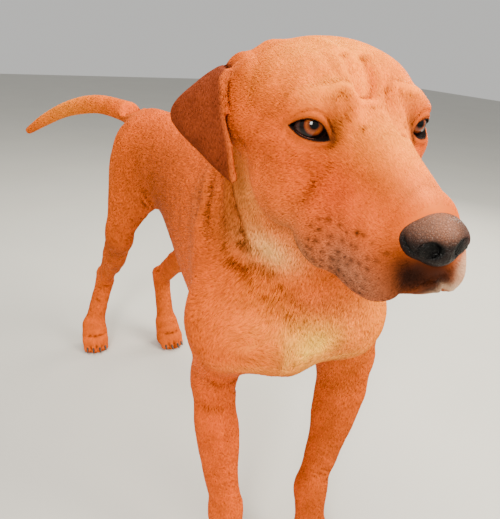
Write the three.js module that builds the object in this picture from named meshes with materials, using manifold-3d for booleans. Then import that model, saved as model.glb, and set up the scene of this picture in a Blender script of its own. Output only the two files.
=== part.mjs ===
// A short-coated dog of retriever type, standing with its head turned a little, life size.
// Millimetres. X is the dog's left, Y its rear and Z up. The four paws stand on small flats at z = 0.
import * as THREE from "three";
import { mergeVertices } from "three/addons/utils/BufferGeometryUtils.js";
import Module from "manifold-3d";

const wasm = await Module();
wasm.setup();

// ---------------------------------------------------------------- driving dimensions
const WITHERS = 564; // height of the back over the shoulders
const RUMP = 546; // height of the back over the hips
const BRISKET = 292; // height of the breastbone between the forelegs
const ELBOW = 290;
const CARPUS = 120;
const STIFLE = 322;
const HOCK = 150;
const KNUCKLE = 36; // height of the joint where the toes begin
const EYE_RADIUS = 12;
const EYE_SPREAD = 37.5; // each eyeball's centre from the middle of the face
const GAP = 0.3; // between parts that touch
const FAR = 2000; // larger than the dog

// Cell sizes of the surfaces, finest where the form is finest.
const CELL = { trunk: 42, neck: 32, head: 14.6, thigh: 29, leg: 20.5, paw: 14, nose: 7.5 };

const RIGHT = -1;
const LEFT = 1;
const SIDES = { right: RIGHT, left: LEFT };
const at = (x, y, z) => new THREE.Vector3(x, y, z);
const degrees = THREE.MathUtils.degToRad;

// ---------------------------------------------------------------- forms
// A form is a function of a point: negative inside, positive outside, near the distance in millimetres.

// A limb segment that tapers from radius ra at a to rb at b. Its section is narrowed along `side` by `flat`.
function taper(a, b, ra, rb, flat = 1, side = at(1, 0, 0)) {
  const run = b.clone().sub(a);
  const square = Math.max(run.lengthSq(), 1e-9);
  return (p) => {
    const px = p.x - a.x;
    const py = p.y - a.y;
    const pz = p.z - a.z;
    const t = THREE.MathUtils.clamp((px * run.x + py * run.y + pz * run.z) / square, 0, 1);
    let ox = px - t * run.x;
    let oy = py - t * run.y;
    let oz = pz - t * run.z;
    const extra = (ox * side.x + oy * side.y + oz * side.z) * (1 / flat - 1);
    ox += extra * side.x;
    oy += extra * side.y;
    oz += extra * side.z;
    return (Math.hypot(ox, oy, oz) - ra - (rb - ra) * t) * Math.min(1, flat);
  };
}

// An ellipsoid with radii along X, Y and Z, turned by Euler angles in degrees.
function lump(centre, rx, ry, rz, turn = [0, 0, 0]) {
  const back = new THREE.Quaternion()
    .setFromEuler(new THREE.Euler(...turn.map(degrees)))
    .invert();
  const q = at(0, 0, 0);
  return (p) => {
    q.copy(p).sub(centre).applyQuaternion(back);
    const reach = Math.hypot(q.x / rx, q.y / ry, q.z / rz);
    const slope = Math.hypot(q.x / rx ** 2, q.y / ry ** 2, q.z / rz ** 2);
    return slope > 1e-9 ? (reach * (reach - 1)) / slope : -Math.min(rx, ry, rz);
  };
}

// A barrel along Y through stations of {y, top, base, half, x}: its back line, belly line, half width and how far
// its middle lies aside. `square` above 2 flattens the sides of its sections.
function barrel(stations, square = 2) {
  const line = (key) =>
    new THREE.CatmullRomCurve3(
      stations.map((s) => at(s.y, s[key] ?? 0, 0)),
      false,
      "centripetal",
    ).getPoints(160);
  const lines = { top: line("top"), base: line("base"), half: line("half"), x: line("x") };
  const read = (points, y) => {
    let low = 0;
    let high = points.length - 1;
    while (high - low > 1) {
      const middle = (low + high) >> 1;
      if (points[middle].x > y) high = middle;
      else low = middle;
    }
    const t = (y - points[low].x) / (points[high].x - points[low].x);
    return THREE.MathUtils.lerp(points[low].y, points[high].y, THREE.MathUtils.clamp(t, 0, 1));
  };
  const first = stations[0].y;
  const last = stations.at(-1).y;
  return (p) => {
    const y = THREE.MathUtils.clamp(p.y, first, last);
    const top = read(lines.top, y);
    const base = read(lines.base, y);
    const half = read(lines.half, y);
    const tall = (top - base) / 2;
    const across = Math.abs((p.x - read(lines.x, y)) / half) ** square;
    const upward = Math.abs((p.z - (top + base) / 2) / tall) ** square;
    const radial = ((across + upward) ** (1 / square) - 1) * Math.min(half, tall);
    const past = Math.abs(p.y - y);
    return past > 0 ? Math.hypot(Math.max(radial, 0), past) + Math.min(radial, 0) * 0.2 : radial;
  };
}

// Forms melted together over a width of k.
function melt(k, ...forms) {
  return (p) => {
    let least = FAR;
    for (const form of forms) {
      const d = form(p);
      const h = Math.max(k - Math.abs(least - d), 0) / k;
      least = Math.min(least, d) - (h * h * k) / 4;
    }
    return least;
  };
}

// A form with another scooped out of it, the rim softened over a width of k.
function scoop(form, cutter, k) {
  return (p) => {
    const d = form(p);
    const c = -cutter(p);
    const h = Math.max(k - Math.abs(d - c), 0) / k;
    return Math.max(d, c) + (h * h * k) / 4;
  };
}

// Both of a pair, from a function of the side.
const both = (make) => [make(RIGHT), make(LEFT)];

// A form carried from its own frame to another by a matrix without scale.
function placed(form, matrix) {
  const inverse = matrix.clone().invert();
  const q = at(0, 0, 0);
  return (p) => form(q.copy(p).applyMatrix4(inverse));
}

// ---------------------------------------------------------------- surfaces
// The closed surface of a form inside a box: one vertex for each cell that the surface crosses, drawn onto it.
function surface(form, low, high, cell) {
  const n = ["x", "y", "z"].map((k) => Math.ceil((high[k] - low[k]) / cell) + 2);
  const corner = (i, j, k) => at(low.x + (i - 0.5) * cell, low.y + (j - 0.5) * cell, low.z + (k - 0.5) * cell);
  const index = (i, j, k) => i + n[0] * (j + n[1] * k);
  const inside = new Float32Array(n[0] * n[1] * n[2]);
  for (let k = 0; k < n[2]; k++) {
    for (let j = 0; j < n[1]; j++) {
      for (let i = 0; i < n[0]; i++) {
        const rim = i === 0 || j === 0 || k === 0 || i === n[0] - 1 || j === n[1] - 1 || k === n[2] - 1;
        inside[index(i, j, k)] = rim ? cell : form(corner(i, j, k));
      }
    }
  }
  untangle(inside, n, index);
  const position = [];
  const vertexOf = new Map();
  const vertex = (i, j, k) => {
    const key = index(i, j, k);
    if (vertexOf.has(key)) return vertexOf.get(key);
    const sum = at(0, 0, 0);
    let count = 0;
    for (let e = 0; e < 12; e++) {
      const axis = e >> 2;
      const a = [0, 0, 0];
      a[(axis + 1) % 3] = e & 1;
      a[(axis + 2) % 3] = (e >> 1) & 1;
      const b = [...a];
      b[axis] = 1;
      const va = inside[index(i + a[0], j + a[1], k + a[2])];
      const vb = inside[index(i + b[0], j + b[1], k + b[2])];
      if (va < 0 === vb < 0) continue;
      const pa = corner(i + a[0], j + a[1], k + a[2]);
      sum.add(pa.lerp(corner(i + b[0], j + b[1], k + b[2]), va / (va - vb)));
      count++;
    }
    vertexOf.set(key, position.length / 3);
    const middle = sum.divideScalar(count);
    position.push(...settle(form, middle, cell).toArray());
    return vertexOf.get(key);
  };
  const triangles = [];
  for (let k = 0; k < n[2] - 1; k++) {
    for (let j = 0; j < n[1] - 1; j++) {
      for (let i = 0; i < n[0] - 1; i++) {
        const here = [i, j, k];
        for (let axis = 0; axis < 3; axis++) {
          const next = [...here];
          next[axis]++;
          const a = inside[index(...here)] < 0;
          const b = inside[index(...next)] < 0;
          if (a === b) continue;
          const u = (axis + 1) % 3;
          const v = (axis + 2) % 3;
          const ring = [[-1, -1], [0, -1], [0, 0], [-1, 0]].map(([du, dv]) => {
            const c = [...here];
            c[u] += du;
            c[v] += dv;
            return vertex(...c);
          });
          if (b) ring.reverse();
          triangles.push(ring[0], ring[1], ring[2], ring[0], ring[2], ring[3]);
        }
      }
    }
  }
  const made = new THREE.BufferGeometry();
  made.setAttribute("position", new THREE.Float32BufferAttribute(position, 3));
  made.setIndex(triangles);
  return made;
}

// A face of the grid whose corners are in, out, in, out in turn would join two sheets along one edge.
// The corner of it that lies nearest to the surface changes sides until no such face is left.
function untangle(inside, n, index) {
  for (let changed = true; changed; ) {
    changed = false;
    for (let k = 1; k < n[2] - 1; k++) {
      for (let j = 1; j < n[1] - 1; j++) {
        for (let i = 1; i < n[0] - 1; i++) {
          for (let axis = 0; axis < 3; axis++) {
            const face = [[0, 0], [1, 0], [1, 1], [0, 1]].map(([du, dv]) => {
              const c = [i, j, k];
              c[(axis + 1) % 3] += du;
              c[(axis + 2) % 3] += dv;
              return index(...c);
            });
            const out = face.map((c) => inside[c] >= 0);
            if (out[0] !== out[2] || out[1] !== out[3] || out[0] === out[1]) continue;
            const held = face.filter((c) => inside[c] < 0);
            const nearest = held.reduce((a, b) => (inside[a] > inside[b] ? a : b));
            inside[nearest] = Math.max(-inside[nearest], 0.01);
            changed = true;
          }
        }
      }
    }
  }
}

// A point drawn onto a form's surface along its slope, by less than half a cell.
function settle(form, point, cell) {
  const start = point.clone();
  const step = 0.4;
  for (let turn = 0; turn < 3; turn++) {
    const d = form(point);
    const slope = at(
      form(point.clone().add(at(step, 0, 0))) - d,
      form(point.clone().add(at(0, step, 0))) - d,
      form(point.clone().add(at(0, 0, step))) - d,
    ).divideScalar(step);
    const square = slope.lengthSq();
    if (square < 0.05) break;
    point.addScaledVector(slope, -d / square);
  }
  return point.sub(start).clampLength(0, cell * 0.3).add(start);
}

// ---------------------------------------------------------------- solids
// A three.js geometry as a solid, for joins and cuts.
function solid(geometry, matrix = new THREE.Matrix4()) {
  const plain = geometry.clone().applyMatrix4(matrix);
  plain.deleteAttribute("normal");
  plain.deleteAttribute("uv");
  const merged = mergeVertices(plain, 1e-4);
  return new wasm.Manifold(
    new wasm.Mesh({
      numProp: 3,
      vertProperties: new Float32Array(merged.attributes.position.array),
      triVerts: new Uint32Array(merged.index.array),
    }),
  );
}

// A block between two corners, grown on every side, in the frame of a matrix.
function block(low, high, grow = 0, matrix = new THREE.Matrix4()) {
  const size = high.clone().sub(low).addScalar(2 * grow);
  const middle = low.clone().add(high).divideScalar(2);
  const box = new THREE.BoxGeometry(size.x, size.y, size.z).translate(middle.x, middle.y, middle.z);
  return solid(box, matrix);
}

// A solid as a named mesh of one finish. Crumbs that a cut leaves are dropped.
function mesh(name, body, finish) {
  const largest = body.decompose().sort((a, b) => b.volume() - a.volume())[0];
  const data = largest.getMesh();
  const made = new THREE.BufferGeometry();
  made.setAttribute("position", new THREE.BufferAttribute(new Float32Array(data.vertProperties), data.numProp));
  made.setIndex(new THREE.BufferAttribute(new Uint32Array(data.triVerts), 1));
  made.computeVertexNormals();
  const named = new THREE.Mesh(made, finish);
  named.name = name;
  return named;
}

// ---------------------------------------------------------------- finishes
const FINISH = {
  coat: new THREE.MeshStandardMaterial({ color: 0xd2803f, roughness: 0.75, metalness: 0 }),
  ear: new THREE.MeshStandardMaterial({ color: 0xa9552f, roughness: 0.75, metalness: 0 }),
  nose: new THREE.MeshStandardMaterial({ color: 0x4a3b3b, roughness: 0.45, metalness: 0 }),
  eye: new THREE.MeshStandardMaterial({ color: 0x5a2a12, roughness: 0.1, metalness: 0 }),
  claw: new THREE.MeshStandardMaterial({ color: 0x3a2a24, roughness: 0.5, metalness: 0 }),
};

// ---------------------------------------------------------------- trunk
const trunkForm = melt(
  24,
  barrel([
    { y: -64, top: 440, base: 396, half: 34, x: -7 },
    { y: -44, top: 480, base: 366, half: 66, x: -8 },
    { y: 0, top: 528, base: 329, half: 85, x: -9 },
    { y: 60, top: WITHERS - 4, base: 305, half: 91, x: -9 },
    { y: 130, top: WITHERS, base: BRISKET, half: 85, x: -1 },
    { y: 200, top: 551, base: 308, half: 78, x: 5 },
    { y: 260, top: 545, base: 338, half: 69, x: 6 },
    { y: 330, top: 543, base: 374, half: 60, x: 5 },
    { y: 400, top: 546, base: 394, half: 60, x: 1 },
    { y: 460, top: RUMP, base: 400, half: 63 },
    { y: 520, top: 536, base: 420, half: 47 },
    { y: 552, top: 512, base: 446, half: 30 },
    { y: 568, top: 490, base: 464, half: 16 },
  ]),
  // Shoulder blade and upper arm, then the breast muscle.
  taper(at(-46, 96, 510), at(-88, 8, 404), 36, 48, 0.8),
  taper(at(-91, 6, 398), at(-84, 44, 322), 46, 29, 0.85),
  taper(at(40, 96, 510), at(60, 0, 402), 36, 38, 0.8),
  taper(at(68, 0, 390), at(92, 26, 310), 39, 40, 0.9),
  ...both((s) => lump(at(s * 37 - 6, -32, 392), 42, 36, 40)),
);

// ---------------------------------------------------------------- head
// Its own frame has the origin between the corneas, the nose towards -Y and the ears towards +Y.
const HEAD = new THREE.Matrix4().makeRotationFromEuler(
  new THREE.Euler(degrees(4.51), degrees(-2.92), degrees(-11.38), "ZXY"),
);
HEAD.setPosition(-67.3, -133.8, 622);
const inHead = (x, y, z) => at(x, y, z).applyMatrix4(HEAD);

const NOSE = at(0, -91, -40);
const noseForm = melt(
  5,
  lump(NOSE.clone(), 17, 13, 12),
  lump(NOSE.clone().add(at(0, 7, 7)), 15, 13, 8),
  ...both((s) => lump(NOSE.clone().add(at(s * 12.5, 5, -1)), 9, 14, 10)),
  lump(NOSE.clone().add(at(0, -4, -10)), 6, 8, 8),
);
const nostrils = (p) =>
  Math.min(...both((s) => lump(NOSE.clone().add(at(s * 10, -13, -1)), 4.5, 7, 4)(p)));

// Skull and the bridge of the muzzle, with the brows and the bone under each eye.
const skullForm = melt(
  15,
  barrel(
    [
      { y: -93, top: -36, base: -62, half: 14 },
      { y: -86, top: -23, base: -70, half: 20 },
      { y: -70, top: -14, base: -76, half: 20 },
      { y: -45, top: -2, base: -78, half: 20 },
      { y: -20, top: 9, base: -78, half: 25 },
      { y: 0, top: 21, base: -76, half: 39 },
      { y: 15, top: 33, base: -66, half: 51 },
      { y: 35, top: 42, base: -58, half: 60 },
      { y: 62, top: 47, base: -56, half: 65 },
      { y: 92, top: 47, base: -54, half: 64 },
      { y: 118, top: 37, base: -50, half: 55 },
      { y: 138, top: 18, base: -40, half: 36 },
    ],
    2.4,
  ),
  ...both((s) => lump(at(s * 38, 12, 9), 14, 14, 10)),
  ...both((s) => lump(at(s * 40, 13, -15), 13, 16, 9)),
);

const headForm = scoop(
  melt(
    9,
    skullForm,
    ...both((s) => taper(at(s * 18, -14, -44), at(s * 12, -78, -52), 17, 15)), // upper jaw
    ...both((s) => lump(at(s * 22, -48, -67), 13, 44, 26)), // hanging lip
    ...both((s) => lump(at(s * 30, -6, -67), 17, 36, 29)), // corner of the mouth
    ...both((s) => taper(at(s * 50, 22, -18), at(s * 57, 70, -14), 11, 14)), // cheekbone
    ...both((s) => lump(at(s * 38, 46, -44), 26, 44, 42)), // cheek
    ...both((s) => lump(at(s * 60, 92, 0), 14, 26, 32)), // root of the ear
    ...both((s) => taper(at(s * 36, 102, 31), at(s * 60, 103, 18), 12, 10)), // ridge over the ear
    ...both((s) => lump(at(s * 61, 98, -3), 14, 19, 36)), // behind the ear's front edge
    taper(at(0, -20, -70), at(0, -78, -65), 18, 14), // lower jaw
    lump(at(4, -84, -66), 17, 12, 11), // chin
    taper(at(0, 14, -62), at(0, 90, -56), 34, 48), // throat
  ),
  lump(at(0, 0, 40), 7, 24, 16),
  14,
);

// An ear: its front and back edges from the top to the tip, on the +X side, and how far it stands out from the head.
const EAR_FRONT = [at(63, 83, 32), at(71, 88, 18), at(72, 80, -6), at(70, 64, -32), at(70, 57, -53)];
const EAR_BACK = [at(61, 119, 25), at(84, 132, 6), at(102, 156, -25), at(83, 106, -47), at(71, 60, -56)];
const EAR_THICK = 3.6;
const EAR_HANG = { right: { flare: 1, drop: 0 }, left: { flare: 0.62, drop: 7 } };

// The flap of an ear as a closed shell, domed outwards between its edges and rounded at its rim.
function earFlap(side, { flare, drop }) {
  const lower = (p) => at(p.x - 0.3 * drop, p.y, p.z - drop);
  const hang = (p) => at(66 + (p.x - 66) * flare, p.y, p.z - 26 * (1 - flare));
  const front = new THREE.CatmullRomCurve3(EAR_FRONT.map(lower));
  const back = new THREE.CatmullRomCurve3([EAR_BACK[0], ...EAR_BACK.slice(1).map(hang)].map(lower));
  const along = 8;
  const across = 5;
  const centre = (i, j) => {
    const a = front.getPoint(i / along);
    const b = back.getPoint(i / along);
    const width = a.distanceTo(b);
    const t = j / across;
    const middle = a.lerp(b, t);
    middle.x += Math.sin(Math.PI * t) * Math.min(width * 0.13, 9);
    middle.x += 5 * Math.sin(Math.PI * Math.min(i / along, 0.5));
    return middle;
  };
  const normal = (i, j) => {
    const du = centre(Math.min(i + 0.5, along), j).sub(centre(Math.max(i - 0.5, 0), j));
    const dv = centre(i, Math.min(j + 0.5, across)).sub(centre(i, Math.max(j - 0.5, 0)));
    return dv.cross(du).normalize();
  };
  const position = [];
  const place = (p) => position.push(side * p.x, p.y, p.z) / 3 - 1;
  const sheet = (lift) =>
    Array.from({ length: along + 1 }, (_, i) =>
      Array.from({ length: across + 1 }, (_, j) => {
        const rim = j === 0 || j === across || i === along ? 0.45 : 1;
        return place(centre(i, j).addScaledVector(normal(i, j), lift * rim));
      }),
    );
  const outer = sheet(EAR_THICK / 2);
  const inner = sheet(-EAR_THICK / 2);
  const faces = [];
  const quad = (a, b, c, d) => faces.push(a, b, c, a, c, d);
  for (let i = 0; i < along; i++) {
    for (let j = 0; j < across; j++) {
      quad(outer[i][j], outer[i + 1][j], outer[i + 1][j + 1], outer[i][j + 1]);
      quad(inner[i][j], inner[i][j + 1], inner[i + 1][j + 1], inner[i + 1][j]);
    }
    quad(outer[i][0], inner[i][0], inner[i + 1][0], outer[i + 1][0]);
    quad(outer[i][across], outer[i + 1][across], inner[i + 1][across], inner[i][across]);
  }
  for (let j = 0; j < across; j++) {
    quad(outer[0][j], outer[0][j + 1], inner[0][j + 1], inner[0][j]);
    quad(outer[along][j], inner[along][j], inner[along][j + 1], outer[along][j + 1]);
  }
  if (side === LEFT) for (let i = 0; i < faces.length; i += 3) [faces[i], faces[i + 1]] = [faces[i + 1], faces[i]];
  const made = new THREE.BufferGeometry();
  made.setAttribute("position", new THREE.Float32BufferAttribute(position, 3));
  made.setIndex(faces);
  return solid(made, HEAD);
}

// ---------------------------------------------------------------- neck
const neckForm = melt(
  24,
  taper(at(-4, 50, 470), inHead(0, 96, -24), 84, 56, 0.97),
  taper(at(0, 90, 515), inHead(0, 108, -8), 46, 40),
  taper(at(0, -18, 430), inHead(0, 66, -56), 60, 44),
);

// ---------------------------------------------------------------- legs
// A foreleg: its elbow, carpus and knuckles, with the side that it is on.
const FORELEG = {
  right: { side: RIGHT, elbow: at(-86, 36, ELBOW), carpus: at(-75, 14, CARPUS), knuckle: at(-74, 2, KNUCKLE) },
  left: { side: LEFT, elbow: at(101, 24, ELBOW), carpus: at(43, -6, CARPUS), knuckle: at(44, -18, KNUCKLE) },
};
const HINDLEG = {
  right: {
    side: RIGHT,
    hip: at(-40, 494, 460),
    stifle: at(-72, 462, STIFLE),
    hock: at(-55, 655, HOCK),
    knuckle: at(-91, 640, KNUCKLE),
  },
  left: {
    side: LEFT,
    hip: at(40, 490, 460),
    stifle: at(76, 430, STIFLE),
    hock: at(60, 610, HOCK),
    knuckle: at(63, 588, KNUCKLE),
  },
};

function forelegForm({ side, elbow, carpus, knuckle }) {
  const shin = (t) => elbow.clone().lerp(carpus, t);
  const braced = side === LEFT; // this leg carries the weight, so that its forearm is fuller
  return melt(
    12,
    taper(elbow.clone().add(at(0, 6, 4)), shin(0.42), braced ? 36 : 28, braced ? 27 : 23, 0.88),
    taper(shin(0.2).add(at(side * 10, -5, 0)), shin(0.75).add(at(side * 5, 0, 0)), braced ? 25 : 21, 17, 0.9), // forearm
    taper(shin(0.3), carpus, braced ? 24 : 22, 17.5, 0.94),
    taper(elbow.clone().add(at(0, 27, 2)), shin(0.25), 14, 14), // point of the elbow
    lump(carpus.clone().add(at(0, -3, 2)), 15.5, 17.5, 36),
    taper(carpus, knuckle.clone().add(at(0, 0, 4)), 18, 19, 1.08),
    lump(carpus.clone().add(at(side * 2, 18, -20)), 8, 8, 9), // stopper pad
  );
}

function hindlegForm({ side, hip, stifle, hock, knuckle }) {
  const shank = (t) => stifle.clone().lerp(hock, t);
  const heel = hock.clone().add(at(0, 22, 10));
  return melt(
    16,
    taper(hip.clone().add(at(0, -24, 0)), stifle.clone().add(at(0, 14, 16)), 60, 31, 0.6), // front of the thigh
    taper(hip.clone().add(at(side * 4, 18, -26)), shank(0.3), 43, 24, 0.62), // back of the thigh
    taper(stifle.clone().add(at(0, 8, 0)), shank(0.55), 28, 18, 0.8),
    taper(shank(0.4), hock, 20, 14, 0.82),
    taper(at(side * 46, 414, 410), stifle.clone().add(at(0, -2, 12)), 30, 19, 0.6), // fold of the flank
    taper(shank(0.6).add(at(0, 15, 8)), heel, 9, 9), // tendon of the heel
    taper(heel, knuckle.clone().add(at(0, 6, 20)), 10, 12, 0.95),
    taper(hock, knuckle.clone().add(at(0, 0, 4)), 15, 17, 1.02),
  );
}

// The toes of a paw: how far each stands aside, how far forward it reaches, and how it is turned.
const TOES = [
  { aside: -0.9, ahead: 0.74, turn: -9 },
  { aside: -0.32, ahead: 1, turn: -3 },
  { aside: 0.32, ahead: 1, turn: 3 },
  { aside: 0.9, ahead: 0.74, turn: 9 },
];
const TOE_RADIUS = 9.2;
const TOE_GAP = 14;

function toePlaces(knuckle, reach, heading) {
  return TOES.map(({ aside, ahead, turn }) => {
    const facing = heading + turn;
    const forward = at(Math.sin(degrees(facing)), -Math.cos(degrees(facing)), 0);
    const across = at(Math.cos(degrees(heading)), Math.sin(degrees(heading)), 0);
    const root = knuckle.clone().addScaledVector(across, aside * TOE_GAP).addScaledVector(forward, 12);
    root.z = 29;
    const tip = root.clone().addScaledVector(forward, reach * ahead);
    return { root, arch: root.clone().lerp(tip, 0.55).setZ(24), tip: tip.setZ(7.5), forward };
  });
}

function pawForm(knuckle, toes) {
  return melt(
    7,
    melt(12, taper(knuckle.clone().add(at(0, 0, 14)), knuckle.clone().add(at(0, -8, 2)), 21, 23, 1.15),
      lump(knuckle.clone().add(at(0, -8, -22)), 25, 27, 21)),
    ...toes.flatMap(({ root, arch, tip }) => [
      taper(root, arch, TOE_RADIUS + 1, TOE_RADIUS),
      taper(arch, tip, TOE_RADIUS, TOE_RADIUS - 0.6),
    ]),
  );
}

// A claw: a blunt cone that drops as it leaves the toe, `grow` larger for the socket that it stands in.
function claw({ tip, forward }, length, grow = 0) {
  const radius = 3.6 + grow;
  const profile = [
    new THREE.Vector2(0, -6 - grow),
    new THREE.Vector2(radius, -6 - grow),
    new THREE.Vector2(radius, 1),
    new THREE.Vector2(radius * 0.6, length * 0.7),
    new THREE.Vector2(0, length + grow),
  ];
  const made = new THREE.LatheGeometry(profile, 6).scale(0.8, 1, 1);
  const place = made.attributes.position;
  for (let i = 0; i < place.count; i++) {
    const along = Math.max(place.getY(i), 0) / length;
    place.setZ(i, place.getZ(i) + along * along * length * 0.25);
  }
  const aim = new THREE.Matrix4().makeBasis(
    at(-forward.y, forward.x, 0),
    forward.clone().multiplyScalar(0.94).setZ(-0.34).normalize(),
    forward.clone().multiplyScalar(-0.34).setZ(-0.94).normalize(),
  );
  aim.setPosition(tip.clone().addScaledVector(forward, 6.5).setZ(tip.z + 4));
  return solid(made, aim);
}

const FORE_TOES = {
  right: toePlaces(FORELEG.right.knuckle, 34, -4),
  left: toePlaces(FORELEG.left.knuckle, 34, 2),
};
const HIND_TOES = {
  right: toePlaces(HINDLEG.right.knuckle, 27, -8),
  left: toePlaces(HINDLEG.left.knuckle, 27, 4),
};

// ---------------------------------------------------------------- tail
// Points along the tail's middle, from inside the rump to the tip.
const TAIL = [
  { point: at(0, 530, 508), radius: 26 },
  { point: at(-12, 566, 522), radius: 20 },
  { point: at(-28, 602, 528), radius: 17.5 },
  { point: at(-52, 650, 530), radius: 16.5 },
  { point: at(-76, 700, 521), radius: 15.5 },
  { point: at(-104, 752, 503), radius: 13 },
  { point: at(-134, 806, 475), radius: 10.5 },
  { point: at(-160, 854, 446), radius: 6.5 },
];
// The tail as a closed tube through its points, for the part itself.
function tube(stations, sides, steps) {
  const line = new THREE.CatmullRomCurve3(stations.map((s) => s.point));
  const girth = new THREE.CatmullRomCurve3(stations.map((s, i) => at(i, s.radius, 0)));
  const position = [];
  const faces = [];
  for (let i = 0; i <= steps; i++) {
    const t = i / steps;
    const middle = line.getPoint(t);
    const along = line.getTangent(t);
    const across = at(along.y, -along.x, 0).normalize();
    const up = across.clone().cross(along);
    const radius = girth.getPoint(t).y;
    for (let k = 0; k < sides; k++) {
      const angle = (2 * Math.PI * k) / sides;
      const rim = across.clone().multiplyScalar(Math.cos(angle)).addScaledVector(up, Math.sin(angle));
      position.push(...middle.clone().addScaledVector(rim, radius).toArray());
    }
  }
  position.push(...line.getPoint(0).toArray());
  position.push(...line.getPoint(1).addScaledVector(line.getTangent(1), stations.at(-1).radius * 0.6).toArray());
  const first = (steps + 1) * sides;
  for (let k = 0; k < sides; k++) {
    const next = (k + 1) % sides;
    for (let i = 0; i < steps; i++) {
      const [a, b, c, d] = [i * sides + k, i * sides + next, (i + 1) * sides + next, (i + 1) * sides + k];
      faces.push(a, c, b, a, d, c);
    }
    faces.push(first, k, next, first + 1, steps * sides + next, steps * sides + k);
  }
  const made = new THREE.BufferGeometry();
  made.setAttribute("position", new THREE.Float32BufferAttribute(position, 3));
  made.setIndex(faces);
  return solid(made);
}

const tailForm = melt(
  7,
  ...TAIL.slice(1).map((end, i) => taper(TAIL[i].point, end.point, TAIL[i].radius, end.radius)),
);

// ---------------------------------------------------------------- whole dog, then its parts
const dogForm = melt(
  18,
  trunkForm,
  neckForm,
  placed(headForm, HEAD),
  ...Object.values(FORELEG).map(forelegForm),
  ...Object.values(HINDLEG).map(hindlegForm),
  tailForm,
);

// The dog's surface between two corners of a frame, ready to be cut there.
function piece(form, low, high, cell) {
  const room = 2.2 * cell;
  return solid(surface(form, low.clone().subScalar(room), high.clone().addScalar(room), cell));
}

const dog = new THREE.Group();

// Regions of the cuts, each a block in a frame: the part that holds it, then the rest of the dog without it.
const REGION = {
  head: {
    low: at(-150, -240, -190),
    high: at(150, 98, 190),
    frame: HEAD.clone().multiply(new THREE.Matrix4().makeRotationX(degrees(-34))),
  },
  neck: {
    low: at(-180, -330, -90),
    high: at(180, 0, 260),
    frame: new THREE.Matrix4().makeRotationX(degrees(-52)).setPosition(0, 34, 500),
  },
  tail: {
    low: at(-260, 0, -50),
    high: at(150, 400, 120),
    frame: new THREE.Matrix4().makeRotationX(degrees(-15)).setPosition(0, 572, 520),
  },
};
for (const name of Object.keys(SIDES)) {
  const s = SIDES[name];
  const span = (from, to, y0, y1, z0, z1) => ({
    low: at(Math.min(s * from, s * to), y0, z0),
    high: at(Math.max(s * from, s * to), y1, z1),
    frame: new THREE.Matrix4(),
  });
  REGION[`forepaw_${name}`] = span(4, 170, -160, 70, -40, 64);
  REGION[`forearm_${name}`] = span(4, 170, -90, 130, 64 + GAP, 286);
  REGION[`shoulder_${name}`] = span(72, 190, -110, 128, 286 + GAP, 470);
  REGION[`hindpaw_${name}`] = span(4, 190, 480, 730, -40, 66);
  REGION[`shank_${name}`] = span(4, 190, 400, 730, 66 + GAP, 268);
  REGION[`thigh_${name}`] = span(30, 190, 396, 730, 268 + GAP, 470);
}

const within = (name, grow = 0) => block(REGION[name].low, REGION[name].high, grow, REGION[name].frame);
const add = (name, body, finish) => dog.add(mesh(name, body, finish));

// The box of a region in the dog's frame, kept inside given limits.
function reachOf(name, limit) {
  const { low, high, frame } = REGION[name];
  const box = new THREE.Box3(low.clone(), high.clone()).applyMatrix4(frame);
  return box.intersect(limit);
}

const DOG = new THREE.Box3(at(-185, -260, -6), at(185, 890, 720));
const floor = block(at(-FAR, -FAR, -FAR), at(FAR, FAR, 0));

// One part: the dog's surface in its region at its own fineness, less the regions of its neighbours.
function part(name, cell, form, neighbours = []) {
  const box = reachOf(name, DOG);
  let body = piece(form, box.min, box.max, cell).intersect(within(name));
  for (const other of neighbours) body = body.subtract(within(other, GAP));
  return body;
}

// Head, with its eyes, lids, nose and ears.
const eyeCentre = (s) => at(s * EYE_SPREAD, 10, 0);
const EYE_TURN = 24; // how far each eye looks outwards, in degrees

// The opening between the lids, an almond prism along the line of sight. Its inner corner lies lower.
function eyeSlit(s) {
  const wide = 14 * s;
  const almond = new THREE.Shape();
  almond.moveTo(wide, 0);
  almond.quadraticCurveTo(wide * 0.3, 12, -wide, -5);
  almond.quadraticCurveTo(wide * 0.1, -13, wide, 0);
  const prism = new THREE.ExtrudeGeometry(almond, { depth: 30, bevelEnabled: false, curveSegments: 6 });
  const aim = new THREE.Matrix4()
    .makeRotationZ(degrees(s * EYE_TURN))
    .multiply(new THREE.Matrix4().makeRotationX(Math.PI / 2))
    .setPosition(eyeCentre(s));
  return solid(prism, HEAD.clone().multiply(aim));
}
const ball = (s, radius) =>
  solid(new THREE.IcosahedronGeometry(radius, 2), HEAD.clone().multiply(new THREE.Matrix4().setPosition(eyeCentre(s))));

let head = part("head", CELL.head, dogForm);
for (const s of [RIGHT, LEFT]) {
  head = head.add(ball(s, EYE_RADIUS + 1.8)).subtract(ball(s, EYE_RADIUS + GAP)).subtract(eyeSlit(s));
}
const noseAt = inHead(...NOSE.toArray());
const nose = piece(
  placed(scoop(noseForm, nostrils, 3), HEAD),
  noseAt.clone().subScalar(30),
  noseAt.clone().addScalar(30),
  CELL.nose,
);
const bed = nose
  .translate(noseAt.clone().negate().toArray())
  .scale(1.04)
  .translate(noseAt.toArray());
head = head.subtract(bed);
for (const [name, s] of Object.entries(SIDES)) {
  // The head shifted a little outwards as well, so that the ear's root clears it.
  const root = head.add(head.translate(s * 0.45, 0.15, 0.2));
  add(`ear_${name}`, earFlap(s, EAR_HANG[name]).subtract(root), FINISH.ear);
}
add("head", head, FINISH.coat);
add("nose", nose, FINISH.nose);
for (const [name, s] of Object.entries(SIDES)) add(`eye_${name}`, ball(s, EYE_RADIUS), FINISH.eye);

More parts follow.
